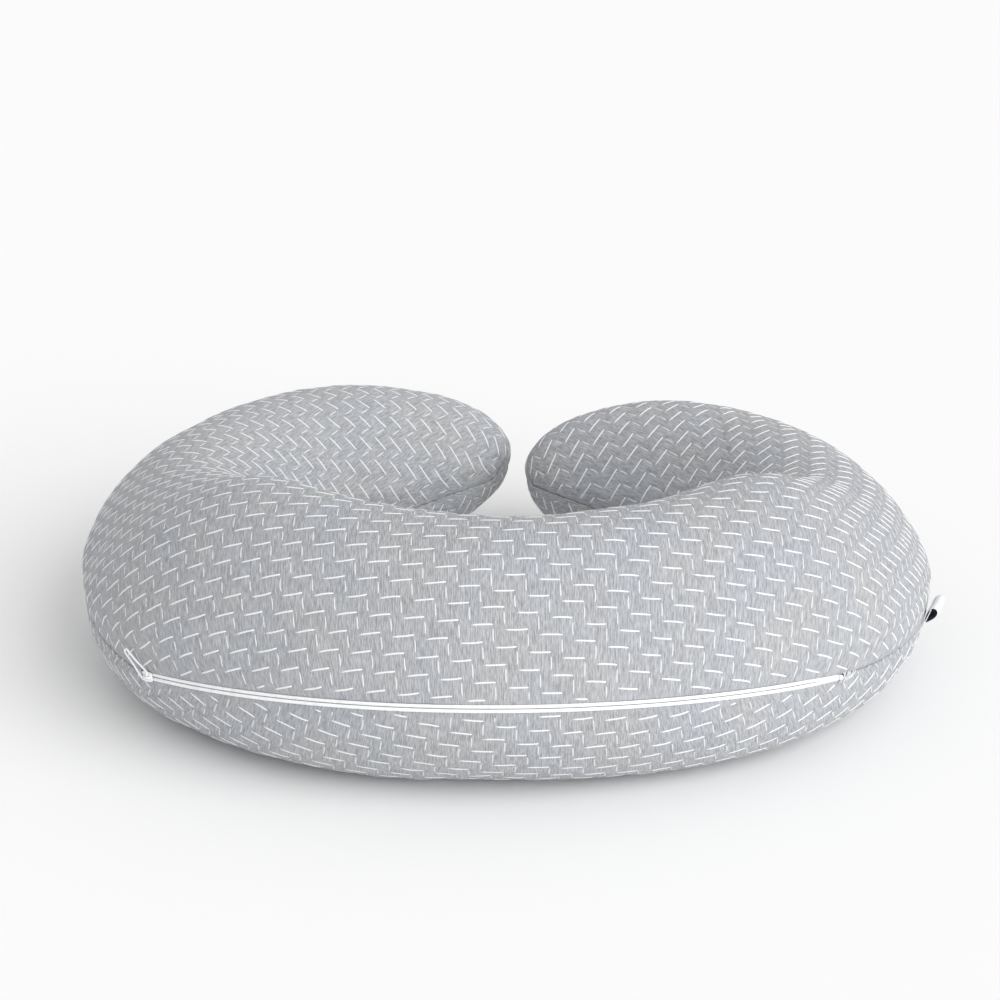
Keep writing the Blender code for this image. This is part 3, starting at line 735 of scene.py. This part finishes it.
def knit_material(name, light, dark):
    """Heather knit: fine wales, broken light and dark streaks along them, and a faint blue cast."""
    made = Nodes(name, light, 0.92, sheen=0.12)
    flat = made.flat_place()
    streaks = made.noise(flat, (1150.0, 190.0, 1.0), detail=2.0, roughness=0.55)
    lines = made.noise(flat, (620.0, 60.0, 1.0), detail=1.0)
    flecks = made.noise(flat, (1900.0, 1500.0, 1.0), detail=1.0)
    patches = made.noise(flat, (22.0, 16.0, 1.0), detail=1.0)
    share = made.maths("MULTIPLY_ADD", streaks, 0.6, made.maths("MULTIPLY", flecks, 0.15))
    share = made.maths("MULTIPLY_ADD", lines, 0.25, share)
    middle = tuple((a + b) / 2 for a, b in zip(light, dark))
    base = made.ramp(share, [(0.38, dark), (0.50, middle), (0.62, light)])
    cast = made.ramp(patches, [(0.35, (1.0, 1.0, 1.0)), (0.65, (0.965, 0.985, 1.035))])
    made.colour(made.add("ShaderNodeMix", {0: 1.0, 6: base, 7: cast}, data_type="RGBA",
                         blend_type="MULTIPLY").outputs[2])
    across, along, _ = made.split(flat)
    wale = made.wave(across, WALE_PITCH)
    course = made.wave(along, COURSE_PITCH)
    height = made.maths("MULTIPLY_ADD", wale, 0.30, made.maths("MULTIPLY", course, 0.15))
    height = made.maths("ADD", height, made.maths("MULTIPLY", streaks, 2.0))
    made.bump(height, 0.00022, 0.9)
    return made.material


def yarn_material(name, colour):
    """Bright twisted yarn."""
    made = Nodes(name, colour, 0.55, sheen=0.15)
    fibres = made.noise(made.object_place(), (1400.0, 1400.0, 1400.0))
    made.tone(fibres, 0.3, 0.65, colour, 0.86)
    made.bump(fibres, 0.00018, 0.6)
    return made.material


def woven_material(name, colour, pitch, contrast=0.9, roughness=0.85):
    """Plain weave, read in the object's own space."""
    made = Nodes(name, colour, roughness, sheen=0.15)
    place = made.object_place()
    warp, weft, depth = (made.wave(value, pitch) for value in made.split(place))
    cross = made.maths("ADD", made.maths("MULTIPLY", warp, weft), depth)
    slubs = made.noise(place, 420.0, detail=3.0)
    made.tone(made.maths("MULTIPLY_ADD", cross, 0.1, slubs), 0.25, 0.7, colour, contrast)
    made.bump(made.maths("MULTIPLY_ADD", cross, 0.25, slubs), 0.00012, 0.7)
    return made.material


def enamel_material(name, colour, roughness):
    """Smooth white coat with a faint orange-peel surface and greyer worn spots."""
    made = Nodes(name, colour, roughness, coat=0.4)
    place = made.object_place()
    made.tone(made.noise(place, 240.0, detail=3.0), 0.3, 0.5, colour, 0.9)
    made.bump(made.noise(place, 900.0), 0.00003, 0.5)
    return made.material


def fibre_material(name, colour):
    """Soft polyester fill, in tufts and strands."""
    made = Nodes(name, colour, 1.0, sheen=0.4)
    place = made.object_place()
    tufts = made.noise(place, 90.0, detail=6.0, roughness=0.7)
    strands = made.noise(place, (900.0, 200.0, 900.0), detail=3.0)
    made.tone(tufts, 0.3, 0.65, colour, 0.88)
    made.bump(made.maths("ADD", tufts, strands), 0.0012, 0.8)
    return made.material


knit = knit_material("heather_knit", (0.530, 0.537, 0.545), (0.308, 0.314, 0.324))
float_yarn = yarn_material("float_yarn", (0.89, 0.90, 0.915))
dim_yarn = yarn_material("dim_float_yarn", (0.76, 0.772, 0.79))
nylon = enamel_material("zip_nylon_white", (0.95, 0.955, 0.965), 0.35)
enamel = enamel_material("slider_enamel_white", (0.93, 0.935, 0.95), 0.25)
tape_cloth = woven_material("zip_tape_weave", (0.88, 0.89, 0.91), 0.0007)
liner_cloth = woven_material("liner_weave", (0.80, 0.80, 0.78), 0.0009)
fibre = fibre_material("hollow_fibre", (0.90, 0.90, 0.89))
ribbon = woven_material("label_white", (0.90, 0.91, 0.94), 0.0005, contrast=0.94, roughness=0.6)
navy = woven_material("label_navy", (0.035, 0.042, 0.085), 0.0005, contrast=0.75, roughness=0.7)


# ---- the cover ----
def edge_depth(distance):
    """How far a folded edge turns in, at a distance from it."""
    left = np.clip(EDGE_ROUND - distance, 0, EDGE_ROUND)
    return EDGE_ROUND - np.sqrt(np.maximum(EDGE_ROUND ** 2 - left ** 2, 0))


def puckers(sheet, distance, seed):
    """Small folds that a sewn seam draws into the cloth beside it."""
    run = run_along(sheet.points[:, 0])[:, None]
    rng = np.random.default_rng(seed)
    fold = np.zeros((len(sheet.stations), 1))
    for pitch in (0.0115, 0.0083, 0.0170):
        fold = fold + np.sin(run * 2 * math.pi / pitch + rng.uniform(0, 6))
    swell = 0.6 + 0.4 * np.sin(run * 2 * math.pi / 0.061 + rng.uniform(0, 6))
    return fold / 3 * swell * np.exp(-(distance / 0.009) ** 1.5)


def cover_surface(sheet):
    """The cover's outer surface: quilting, seams drawn in, puckers and soft unevenness."""
    slot = sheet.in_slot[:, None]
    wide = sheet.from_outer + sheet.from_inner
    nearest = np.minimum(sheet.from_outer, sheet.from_inner)
    near_outer = np.where(slot, 0.0, np.exp(-sheet.from_outer / SEAM_SPREAD))
    near_inner = np.exp(-sheet.from_inner / SEAM_SPREAD)
    seam_dip = SEAM_DIP * np.maximum(near_outer, near_inner)
    fold = np.where(slot, 0.3, 1.0) * puckers(sheet, sheet.from_outer, 5)
    fold = fold + puckers(sheet, sheet.from_inner, 9)
    calm = 1 - np.exp(-nearest / 0.010)
    open_wide = np.clip(wide / 0.05, 0, 1)
    lift = relief(sheet.flat) * calm - seam_dip * open_wide + PUCKER * fold * open_wide
    lift = lift + 0.0008 * calm * smooth_noise(sheet.points, 0.070, 3)
    lift = lift + 0.0003 * calm * smooth_noise(sheet.points, 0.024, 4)
    folded = edge_depth(sheet.from_outer) + edge_depth(sheet.from_inner)
    lift = lift - folded * np.clip(wide / 0.02, 0, 1)
    surface = sheet.points + sheet.normals * lift[:, :, None]
    surface[:, :, 2] = np.maximum(surface[:, :, 2], TABLE_GAP)
    return surface


def cover_panel(name, upper, node):
    sheet = Sheet(upper, STEP)
    surface = cover_surface(sheet)
    inner = surface - sheet.normals * COVER
    for rim in (0, -1):
        inner[:, rim] = surface[:, rim] - sheet.normals[:, rim] * RIM
    inner[:, :, 2] = np.maximum(inner[:, :, 2], COVER)
    obj = shell(name, surface, inner, sheet.flat)
    finish_piece(obj, "pillow", knit, (node,))
    return sheet, surface


class FlatFinder:
    """Finds where on a sheet's grid a place on the flat cloth lies."""

    def __init__(self, sheet):
        self.sheet = sheet
        places = sheet.flat.reshape(-1, 2)
        self.tree = KDTree(len(places))
        for index, (x, y) in enumerate(places):
            self.tree.insert((x, y, 0.0), index)
        self.tree.balance()

    def find(self, x, y):
        """Fractional (row, column), or None off the cloth."""
        flat = self.sheet.flat
        last = np.array(flat.shape[:2]) - 1
        _, index, gap = self.tree.find((x, y, 0.0))
        if gap > FIND_WITHIN:
            return None
        place = np.array(divmod(index, flat.shape[1]), float)
        target = np.array([x, y])
        for _ in range(4):
            i, j = (int(np.clip(round(at), 1, end - 1)) for at, end in zip(place, last))
            down = (flat[i + 1, j] - flat[i - 1, j]) / 2
            over = (flat[i, j + 1] - flat[i, j - 1]) / 2
            jacobian = np.stack([down, over], axis=1)
            if abs(np.linalg.det(jacobian)) < 1e-12:
                return None
            miss = target - self.sheet.read(flat, place)
            place = np.clip(place + np.clip(np.linalg.solve(jacobian, miss), -3, 3), 0, last)
        if np.linalg.norm(self.sheet.read(flat, place) - target) > FOUND_WITHIN:
            return None
        return place


def float_strip(points, normals, half_width, height):
    """A flat-bottomed strand laid along points, narrower and lower at its ends."""
    outline = ((-1.0, -0.35), (-0.72, 0.55), (0.0, 1.0), (0.72, 0.55), (1.0, -0.35))
    verts = []
    last = len(points) - 1
    for k, (point, normal) in enumerate(zip(points, normals)):
        tangent = points[min(k + 1, last)] - points[max(k - 1, 0)]
        tangent = tangent / max(np.linalg.norm(tangent), 1e-9)
        aside = np.cross(normal, tangent)
        aside = aside / max(np.linalg.norm(aside), 1e-9)
        end = abs(2 * k / last - 1) ** 6
        narrow = 1.0 - 0.30 * end
        low = 1.0 - 0.9 * end
        for out, up in outline:
            rise = height * (up * low if up > 0 else up)
            verts.append(point + aside * half_width * out * narrow + normal * rise)
    return verts, ring_faces(len(points), len(outline))


def lay_floats(word, sheet, surface):
    """Every float of one panel, raised over its quilting: bright long ones, dim short ones."""
    finder = FlatFinder(sheet)
    places = sheet.flat.reshape(-1, 2) / UNIT
    (ax, ay), (bx, by) = LATTICE
    corners = [on_lattice(x, y) for x in (places[:, 0].min(), places[:, 0].max())
               for y in (places[:, 1].min(), places[:, 1].max())]
    p_range, q_range = [range(math.floor(min(steps)) - 1, math.ceil(max(steps)) + 2)
                        for steps in zip(*corners)]
    rng = np.random.default_rng(11)
    strips = {"long": [], "short": []}
    # each kind's direction, place in the hook, length, half width, height and number of points
    kinds = (("long", (1.0, 0.0), (0.0, 0.0), LONG_FLOAT, LONG_HALF_WIDTH, LONG_HEIGHT, 7),
             ("short", (0.0, 1.0), SHORT_PLACE, SHORT_FLOAT, SHORT_HALF_WIDTH, SHORT_HEIGHT, 6))
    for p, q in ((p, q) for p in p_range for q in q_range):
        x = p * ax + q * bx
        y = p * ay + q * by
        for kind, (dx, dy), (ox, oy), length, half_width, height, count in kinds:
            size = length * rng.uniform(0.93, 1.04)
            sway = rng.uniform(-0.06, 0.06)
            spots = []
            for t in np.linspace(-size / 2, size / 2, count):
                bend = sway * (1 - (2 * t / size) ** 2)
                found = finder.find((x + ox + t * dx + bend * dy) * UNIT,
                                    (y + oy + t * dy + bend * dx) * UNIT)
                if found is not None and all(sheet.read(table[..., None], found)[0] > CLEAR_OF_SEAM
                                             for table in (sheet.from_outer, sheet.from_inner)):
                    spots.append(found)
            if len(spots) < 3:
                continue
            points = np.array([sheet.read(surface, spot) for spot in spots])
            normals = np.array([sheet.read(sheet.normals, spot) for spot in spots])
            if points[:, 2].min() >= CLEAR_OF_TABLE:
                strips[kind].append(float_strip(points, normals, half_width * UNIT, height))
    for kind, material in (("long", float_yarn), ("short", dim_yarn)):
        obj = mesh_object(kind + "_floats_" + word, *gather(strips[kind]))
        finish_piece(obj, "pillow", material)


# ---- the liner and the fill ----
def inner_layers():
    for upper, word in ((True, "top"), (False, "bottom")):
        sheet = Sheet(upper, INNER_STEP, LINER_DEPTH, slotted=False, edge_rows=INNER_EDGE_ROWS)
        unevenness = smooth_noise(sheet.points, 0.03, 21)[:, :, None]
        surface = sheet.points + sheet.normals * 0.00025 * unevenness
        inner = surface - sheet.normals * LINER
        obj = shell("liner_" + word + "_cloth", surface, inner, sheet.flat, stride=3)
        finish_piece(obj, "pillow", liner_cloth, ("liner_" + word + "_panel",))
    skins = []
    for upper in (True, False):
        sheet = Sheet(upper, INNER_STEP, FILL_DEPTH + FILL_GAP, slotted=False,
                      edge_rows=INNER_EDGE_ROWS)
        lumps = 0.0005 * (smooth_noise(sheet.points, 0.022, 31) - 1.2)
        calm = 1 - np.exp(-np.minimum(sheet.from_outer, sheet.from_inner) / 0.006)
        surface = sheet.points + sheet.normals * (lumps * calm)[:, :, None]
        skins.append((list(surface.reshape(-1, 3)), grid_faces(*surface.shape[:2])))
    obj = mesh_object("fibre_core", *gather(skins))
    weld(obj, 0.0006)
    finish_piece(obj, "pillow", fibre, ("fibre_fill",))


# ---- the zip ----
def zip_limits():
    margin = STOP_CLEARANCE / ZIP_RADIUS
    stop = STOP_LENGTH / ZIP_RADIUS
    half = SLIDER_LENGTH / 2 / ZIP_RADIUS
    coils = (ZIP_ENDS[0] + margin * 2 + stop, ZIP_ENDS[1] - margin * 2 - stop)
    return {"coils": coils, "closed": coils[0] + half}


def on_zip(angle, out, up):
    return np.array(ZipArc.point(angle, out, up) + SHIFT)


def zip_coil(name, sign, node):
    """A nylon spiral, flattened, with the heads of its turns beside the middle channel."""
    start, end = zip_limits()["coils"]
    turns = int((end - start) * ZIP_RADIUS / COIL_PITCH)
    count = turns * COIL_SPOTS
    middle = (HEADS_AT + COIL_HALF_WIDTH) / 2
    half_width = (COIL_HALF_WIDTH - HEADS_AT - COIL_WIRE) / 2
    half_height = (COIL_PROUD + COIL_SUNK - COIL_WIRE) / 2
    centre = (COIL_PROUD - COIL_SUNK) / 2
    margin = COIL_WIRE / 2 / ZIP_RADIUS

    def across(angle, place):
        return sign * narrowing((ZIP_ENDS[1] - angle) * ZIP_RADIUS) * (middle + place * half_width)

    path = []
    for k in range(count + 1):
        turn = k / COIL_SPOTS * 2 * math.pi
        angle = start + margin + (end - start - 2 * margin) * k / count
        swing = math.cos(turn)
        squared = math.copysign(abs(swing) ** 0.7, -swing)
        path.append(on_zip(angle, centre + half_height * math.sin(turn), across(angle, squared)))
    strands = [tube(path, COIL_WIRE / 2, 5)]
    # the cords that the spiral is wound and sewn round
    for place in (-0.75, -0.25, 0.25, 0.75):
        line = [on_zip(a, centre + 0.0001, across(a, place)) for a in np.linspace(start, end, 240)]
        strands.append(tube(line, half_height * 0.92, 6))
    finish_piece(mesh_object(name, *gather(strands)), "pillow", nylon, (node,))


def zip_tape(name, upper, node):
    """The woven tape under the panel's edge."""
    sign = 1 if upper else -1
    grid = []
    for arm, section in roll_stations(TAPE_STEP):
        if section["s"] > arm.zip_end:
            continue
        outer = section["outer_angle"]
        drift = TAPE_DEPTH * float(profile(outer, section["power"])[1])
        near = edge_angle(section, outer, sign * HEADS_AT + drift)
        far = edge_angle(section, outer, sign * SLOT_HALF_HEIGHT)
        fine = np.linspace(near, far + sign * 0.5, 200)
        run = run_along(arm.place(section, fine, TAPE_DEPTH))
        spots = np.interp(np.linspace(0, TAPE_REACH - HEADS_AT, TAPE_ROWS), run, fine)
        grid.append([arm.place(section, spots, TAPE_DEPTH + d) + np.array(SHIFT)
                     for d in (0.0, TAPE)])
    grid = np.array(grid)
    obj = shell(name, grid[:, 0], grid[:, 1], stride=2)
    finish_piece(obj, "pillow", tape_cloth, (node,))


def rounded_bar(name, ends, low, high, node):
    """A moulded stop: a short bar along the zip with rounded edges."""
    rings, sides = 7, 14
    verts = []
    for k in range(rings):
        t = k / (rings - 1)
        angle = ends[0] + (ends[1] - ends[0]) * t
        end = abs(2 * t - 1) ** 3
        for a in np.linspace(0, 2 * math.pi, sides, endpoint=False):
            c, s = (math.copysign(abs(v) ** 0.5, v) for v in (math.cos(a), math.sin(a)))
            up = (low + high) / 2 + c * (high - low) / 2 * (1 - 0.1 * end)
            out = (2 * COIL_PROUD - COIL_SUNK) / 2
            out += s * (2 * COIL_PROUD + COIL_SUNK) / 2 * (1 - 0.25 * end)
            verts.append(on_zip(angle, out, up))
    obj = mesh_object(name, verts, ring_faces(rings, sides))
    weld(obj)
    obj.data.set_sharp_from_angle(angle=math.radians(50))
    finish_piece(obj, "pillow", nylon, (node,))


def make_zip():
    for word, sign in (("upper", 1), ("lower", -1)):
        zip_tape("tape_" + word, sign > 0, "zip_tape_" + word)
        zip_coil("coil_" + word, sign, "zip_coil_" + word)
        low, high = sorted((sign * CHANNEL_HALF_WIDTH, sign * COIL_HALF_WIDTH))
        start = ZIP_ENDS[0] + STOP_CLEARANCE / ZIP_RADIUS
        rounded_bar("top_stop_" + word, (start, start + STOP_LENGTH / ZIP_RADIUS), low, high,
                    "zip_top_stop_" + word)
    end = ZIP_ENDS[1] - STOP_CLEARANCE / ZIP_RADIUS
    half = COIL_HALF_WIDTH * ZIP_TAPER[1]
    rounded_bar("bottom_stop", (end - STOP_LENGTH / ZIP_RADIUS, end), -half, half,
                "zip_bottom_stop")


def seam_point(arm, s, rise, out):
    """A place beside the outer seam: at s along the arm, and rise above the seam."""
    section = arm.section(s)
    angle = edge_angle(section, section["outer_angle"], rise)
    return np.array(arm.place(section, angle, -out)) + np.array(SHIFT)


def make_stitches():
    """Bar tacks at both ends of the zip, and stray stitches that show along the seam past them."""
    rng = np.random.default_rng(17)
    strands = []

    def stitch(arm, s, lean, lift, tall, out, sunk, count, radius, sides):
        line = [seam_point(arm, s + lean * t, lift + tall * t, out - sunk * t * t)
                for t in np.linspace(-1, 1, count)]
        strands.append(tube(line, radius, sides))

    for arm, tacks in ((RIGHT, 7), (LEFT, 3)):
        for k in range(tacks):
            lean = rng.uniform(-0.0016, 0.0024) + 0.0004 * k
            stitch(arm, arm.zip_end - 0.0008 + 0.0010 * k, lean, 0.0, 0.0034 - 0.0002 * k,
                   0.0013, 0.0009, 7, 0.00028, 6)
    for arm, reach in ((RIGHT, 0.075), (LEFT, 0.040)):
        s = arm.zip_end + 0.010
        while s < arm.zip_end + reach:
            lean = rng.uniform(-0.0012, 0.0012)
            tall = rng.uniform(0.0010, 0.0021)
            lift = rng.uniform(-0.0008, 0.0008)
            stitch(arm, s, lean, lift, tall, 0.0003, 0.0005, 5, 0.00020, 5)
            s += rng.uniform(0.0035, 0.0075)
    obj = mesh_object("seam_stitches", *gather(strands))
    finish_piece(obj, "pillow", float_yarn)


# ---- the slider and its pull ----
def slider_matrix():
    """The slider's own axes: X along the zip to its closed end, Y across, Z out."""
    angle = zip_limits()["closed"]
    x = -ZipArc.along(angle)
    z = ZipArc.face(angle)
    y = z.cross(x)
    turn = Matrix((x, y, z)).transposed().to_4x4()
    return Matrix.Translation(ZipArc.point(angle) + SHIFT) @ turn


def plate_outline(length, nose, tail):
    """A slider plate seen from above: rounded, wider at its nose, where the coils part."""
    corner = 0.0016
    x = length / 2 - corner
    points = []
    for centre_x, centre_y, start in ((x, nose / 2 - corner, 0), (-x, tail / 2 - corner, 90),
                                      (-x, corner - tail / 2, 180), (x, corner - nose / 2, 270)):
        for a in np.linspace(start, start + 90, 12):
            turn = math.radians(a)
            points.append((centre_x + corner * math.cos(turn), centre_y + corner * math.sin(turn)))
    return points


def plate(outline, low, high, bevel):
    """An outline made into a plate with a rounded upper edge."""
    outline = np.array(outline)
    centre = outline.mean(axis=0)
    reach = np.abs(outline - centre).max(axis=0)
    levels = [(low, 0.5 * bevel), (low + 0.5 * bevel, 0.0), (high - bevel, 0.0)]
    levels += [(high - bevel + bevel * math.sin(a), bevel * (1 - math.cos(a)))
               for a in np.linspace(0.3, math.pi / 2, 5)]
    verts = []
    for z, inward in levels:
        scale = 1 - inward / reach
        verts += [(*(centre + (p - centre) * scale), z) for p in outline]
    return verts, ring_faces(len(levels), len(outline))


def make_slider():
    top = COIL_PROUD + GAP + OUTER_PLATE
    low = -PLATE_DEPTH - PLATE
    front = SLIDER_LENGTH / 2 - 0.0006
    outer = plate(plate_outline(SLIDER_LENGTH, SLIDER_WIDTH, SLIDER_WIDTH * 0.84),
                  top - OUTER_PLATE, top + 0.0001, 0.0004)
    inner = plate(plate_outline(SLIDER_LENGTH * 0.92, 0.0040, 0.0036), low, low + PLATE, 0.0002)
    web = plate([(front, -WEB_HALF_WIDTH), (front, WEB_HALF_WIDTH),
                 (front - WEB_LENGTH, WEB_HALF_WIDTH), (front - WEB_LENGTH, -WEB_HALF_WIDTH)],
                low + PLATE / 2, top - OUTER_PLATE / 2, 0.00005)
    turns = np.linspace(0, math.pi, 25)
    arch = [(BAIL_RADIUS * math.copysign(abs(math.cos(a)) ** 0.8, math.cos(a)), 0.0,
             top - 0.0004 + BAIL_RADIUS * 0.95 * math.sin(a)) for a in turns]
    bail = tube(arch, [0.00052 + 0.00030 * abs(math.cos(a)) ** 3 for a in turns], 12)
    rails = []
    for side in (-1, 1):
        line = [(x, side * (SLIDER_WIDTH / 2 * (0.90 + 0.08 * x / SLIDER_LENGTH * 2) - 0.0003),
                 top - OUTER_PLATE - 0.0001) for x in np.linspace(-0.0030, 0.0034, 9)]
        rails.append(tube(line, RAIL_RADIUS, 6))
    obj = mesh_object("slider_body", *gather([outer, inner, web, bail] + rails))
    obj.data.transform(slider_matrix())
    obj.data.set_sharp_from_angle(angle=math.radians(45))
    finish_piece(obj, "slider", enamel, ("zip_slider",))


def make_pull():
    """The wire loop: gently pinched sides, a round far end and a flattened bar in the bail."""
    joint = next(j for j in frame["joints"] if j["name"] == "pull_flip")
    pivot = Vector(joint["pos_m"])
    axis = -Vector(joint["axis"]).normalized()
    low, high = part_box("zip_pull_loop")
    towards = (low + high) / 2 - pivot
    towards -= axis * towards.dot(axis)
    towards.normalize()
    turn = Matrix((towards, axis, towards.cross(axis))).transposed().to_4x4()
    far = PULL_LENGTH - PULL_END_HALF_WIDTH

    def side(t):
        half = PULL_HALF_WIDTH + (PULL_END_HALF_WIDTH - PULL_HALF_WIDTH) * t
        return half - PULL_PINCH * math.sin(math.pi * t) ** 2 * t

    places = np.linspace(0, 1, 18)[1:-1]
    half_turn = np.linspace(-math.pi / 2, math.pi / 2, 17)
    loop = [(-0.45 * PULL_HALF_WIDTH * math.cos(a), -PULL_HALF_WIDTH * math.sin(a))
            for a in half_turn]
    loop += [(far * t, -side(t)) for t in places]
    loop += [(far + PULL_END_HALF_WIDTH * math.cos(a), PULL_END_HALF_WIDTH * math.sin(a))
             for a in half_turn]
    loop += [(far * t, side(t)) for t in places[::-1]]
    bar = min(x for x, y in loop)
    points = [(x - bar, y, 0.0) for x, y in loop]
    obj = mesh_object("pull_loop", *tube(points, PULL_WIRE, 12, closed=True))
    obj.data.transform(Matrix.Translation(pivot) @ turn)
    finish_piece(obj, "pull", enamel, ("zip_pull_loop",))


# ---- the label ----
def label_frame():
    """Foot of the label, and its directions along the seam, outwards and across."""
    section = RIGHT.section(LABEL_PLACE)
    _, _, out_x, out_y = RIGHT.spine(LABEL_PLACE)
    foot = Vector(RIGHT.place(section, section["outer_angle"])) + SHIFT
    away = Vector((out_x, out_y, 0))
    along = Vector((-out_y, out_x, 0))
    reach = math.cos(LABEL_RISE) * away + math.sin(LABEL_RISE) * Vector((0, 0, 1))
    return foot, along, reach, along.cross(reach)


def make_label():
    """A ribbon folded into a teardrop, both ends at the seam: white outside, dark inside."""
    foot, along, reach, aside = label_frame()
    line = []
    for t in np.linspace(0, 1, LABEL_ROWS):
        a = 2 * math.pi * t
        out = LABEL_START + (LABEL_REACH - 0.0004) * (1 - math.cos(a)) / 2
        swell = LABEL_BELLY * math.sin(a) * (0.5 - 0.5 * math.cos(a)) ** 0.55
        line.append((out, (GAP + LABEL_THICK / 2) * (1 - 2 * t) + swell))
    line = np.array(line)
    tangent = np.gradient(line, axis=0)
    tangent /= np.linalg.norm(tangent, axis=1, keepdims=True)
    normal = np.stack([-tangent[:, 1], tangent[:, 0]], axis=1)

    def skin(depth):
        rows = []
        for k, (out, up) in enumerate(line + (depth - 0.5) * LABEL_THICK * normal):
            rows.append([])
            for c in np.linspace(-1, 1, LABEL_COLUMNS):
                wave = 0.00035 * math.sin(2.4 * c + 0.5)
                wave *= math.sin(math.pi * k / (LABEL_ROWS - 1))
                place = foot + float(out) * reach + float(up + wave) * aside
                rows[-1].append(place + float(c) * LABEL_WIDTH / 2 * along)
        return np.array(rows)

    # the two cloths' depths in the label's thickness
    for name, near, far, material in (("label_back", 0.0, 0.45, navy),
                                      ("label_face", 0.5, 1.0, ribbon)):
        obj = shell(name, skin(near), skin(far), stride=1)
        finish_piece(obj, "pillow", material, ("side_label",))


# ---- camera, light and floor ----
def aim(obj, target):
    obj.rotation_euler = (Vector(target) - obj.location).to_track_quat("-Z", "Y").to_euler()


def make_camera():
    azimuth = math.radians(-2.172)
    elevation = math.radians(23.334)
    distance = 1.754387
    target = Vector((0.002456, 0.001799, 0.07))
    back = Vector((math.sin(azimuth) * math.cos(elevation),
                   -math.cos(azimuth) * math.cos(elevation), math.sin(elevation)))
    data = bpy.data.cameras.new("camera")
    data.sensor_width = 36
    data.lens = 98.68
    data.shift_x = -0.01015
    data.shift_y = 0.04348
    data.dof.use_dof = False
    camera = bpy.data.objects.new("camera", data)
    camera.location = target + distance * back
    bpy.context.scene.collection.objects.link(camera)
    aim(camera, target)
    bpy.context.scene.camera = camera


def make_studio():
    """One large soft key from the right and front, an even white surround and a white table."""
    data = bpy.data.lights.new("key", "SUN")
    data.energy = 2.3
    data.angle = math.radians(60)
    key = bpy.data.objects.new("key", data)
    key.location = (1.30, -1.22, 0.88)
    bpy.context.scene.collection.objects.link(key)
    aim(key, (0.0, 0.0, 0.0))
    world = bpy.data.worlds.new("studio")
    world.use_nodes = True
    background = world.node_tree.nodes["Background"]
    background.inputs["Color"].default_value = (1.0, 1.0, 1.0, 1.0)
    background.inputs["Strength"].default_value = 0.68
    bpy.context.scene.world = world
    bpy.context.scene.view_settings.view_transform = "Standard"
    half = 12.0
    floor = mesh_object("studio_floor", [(-half, -half, 0), (half, -half, 0), (half, half, 0),
                                         (-half, half, 0)], [(0, 1, 2, 3)], smooth=False)
    paper = Nodes("floor_paper", (0.97, 0.97, 0.97), 0.9)
    floor.data.materials.append(paper.material)


# ---- build ----
def main():
    for name, upper in (("top", True), ("bottom", False)):
        sheet, surface = cover_panel("cover_" + name, upper, "cover_" + name + "_panel")
        lay_floats(name, sheet, surface)
    inner_layers()
    make_zip()
    make_stitches()
    make_slider()
    make_pull()
    make_label()
    make_camera()
    make_studio()


main()
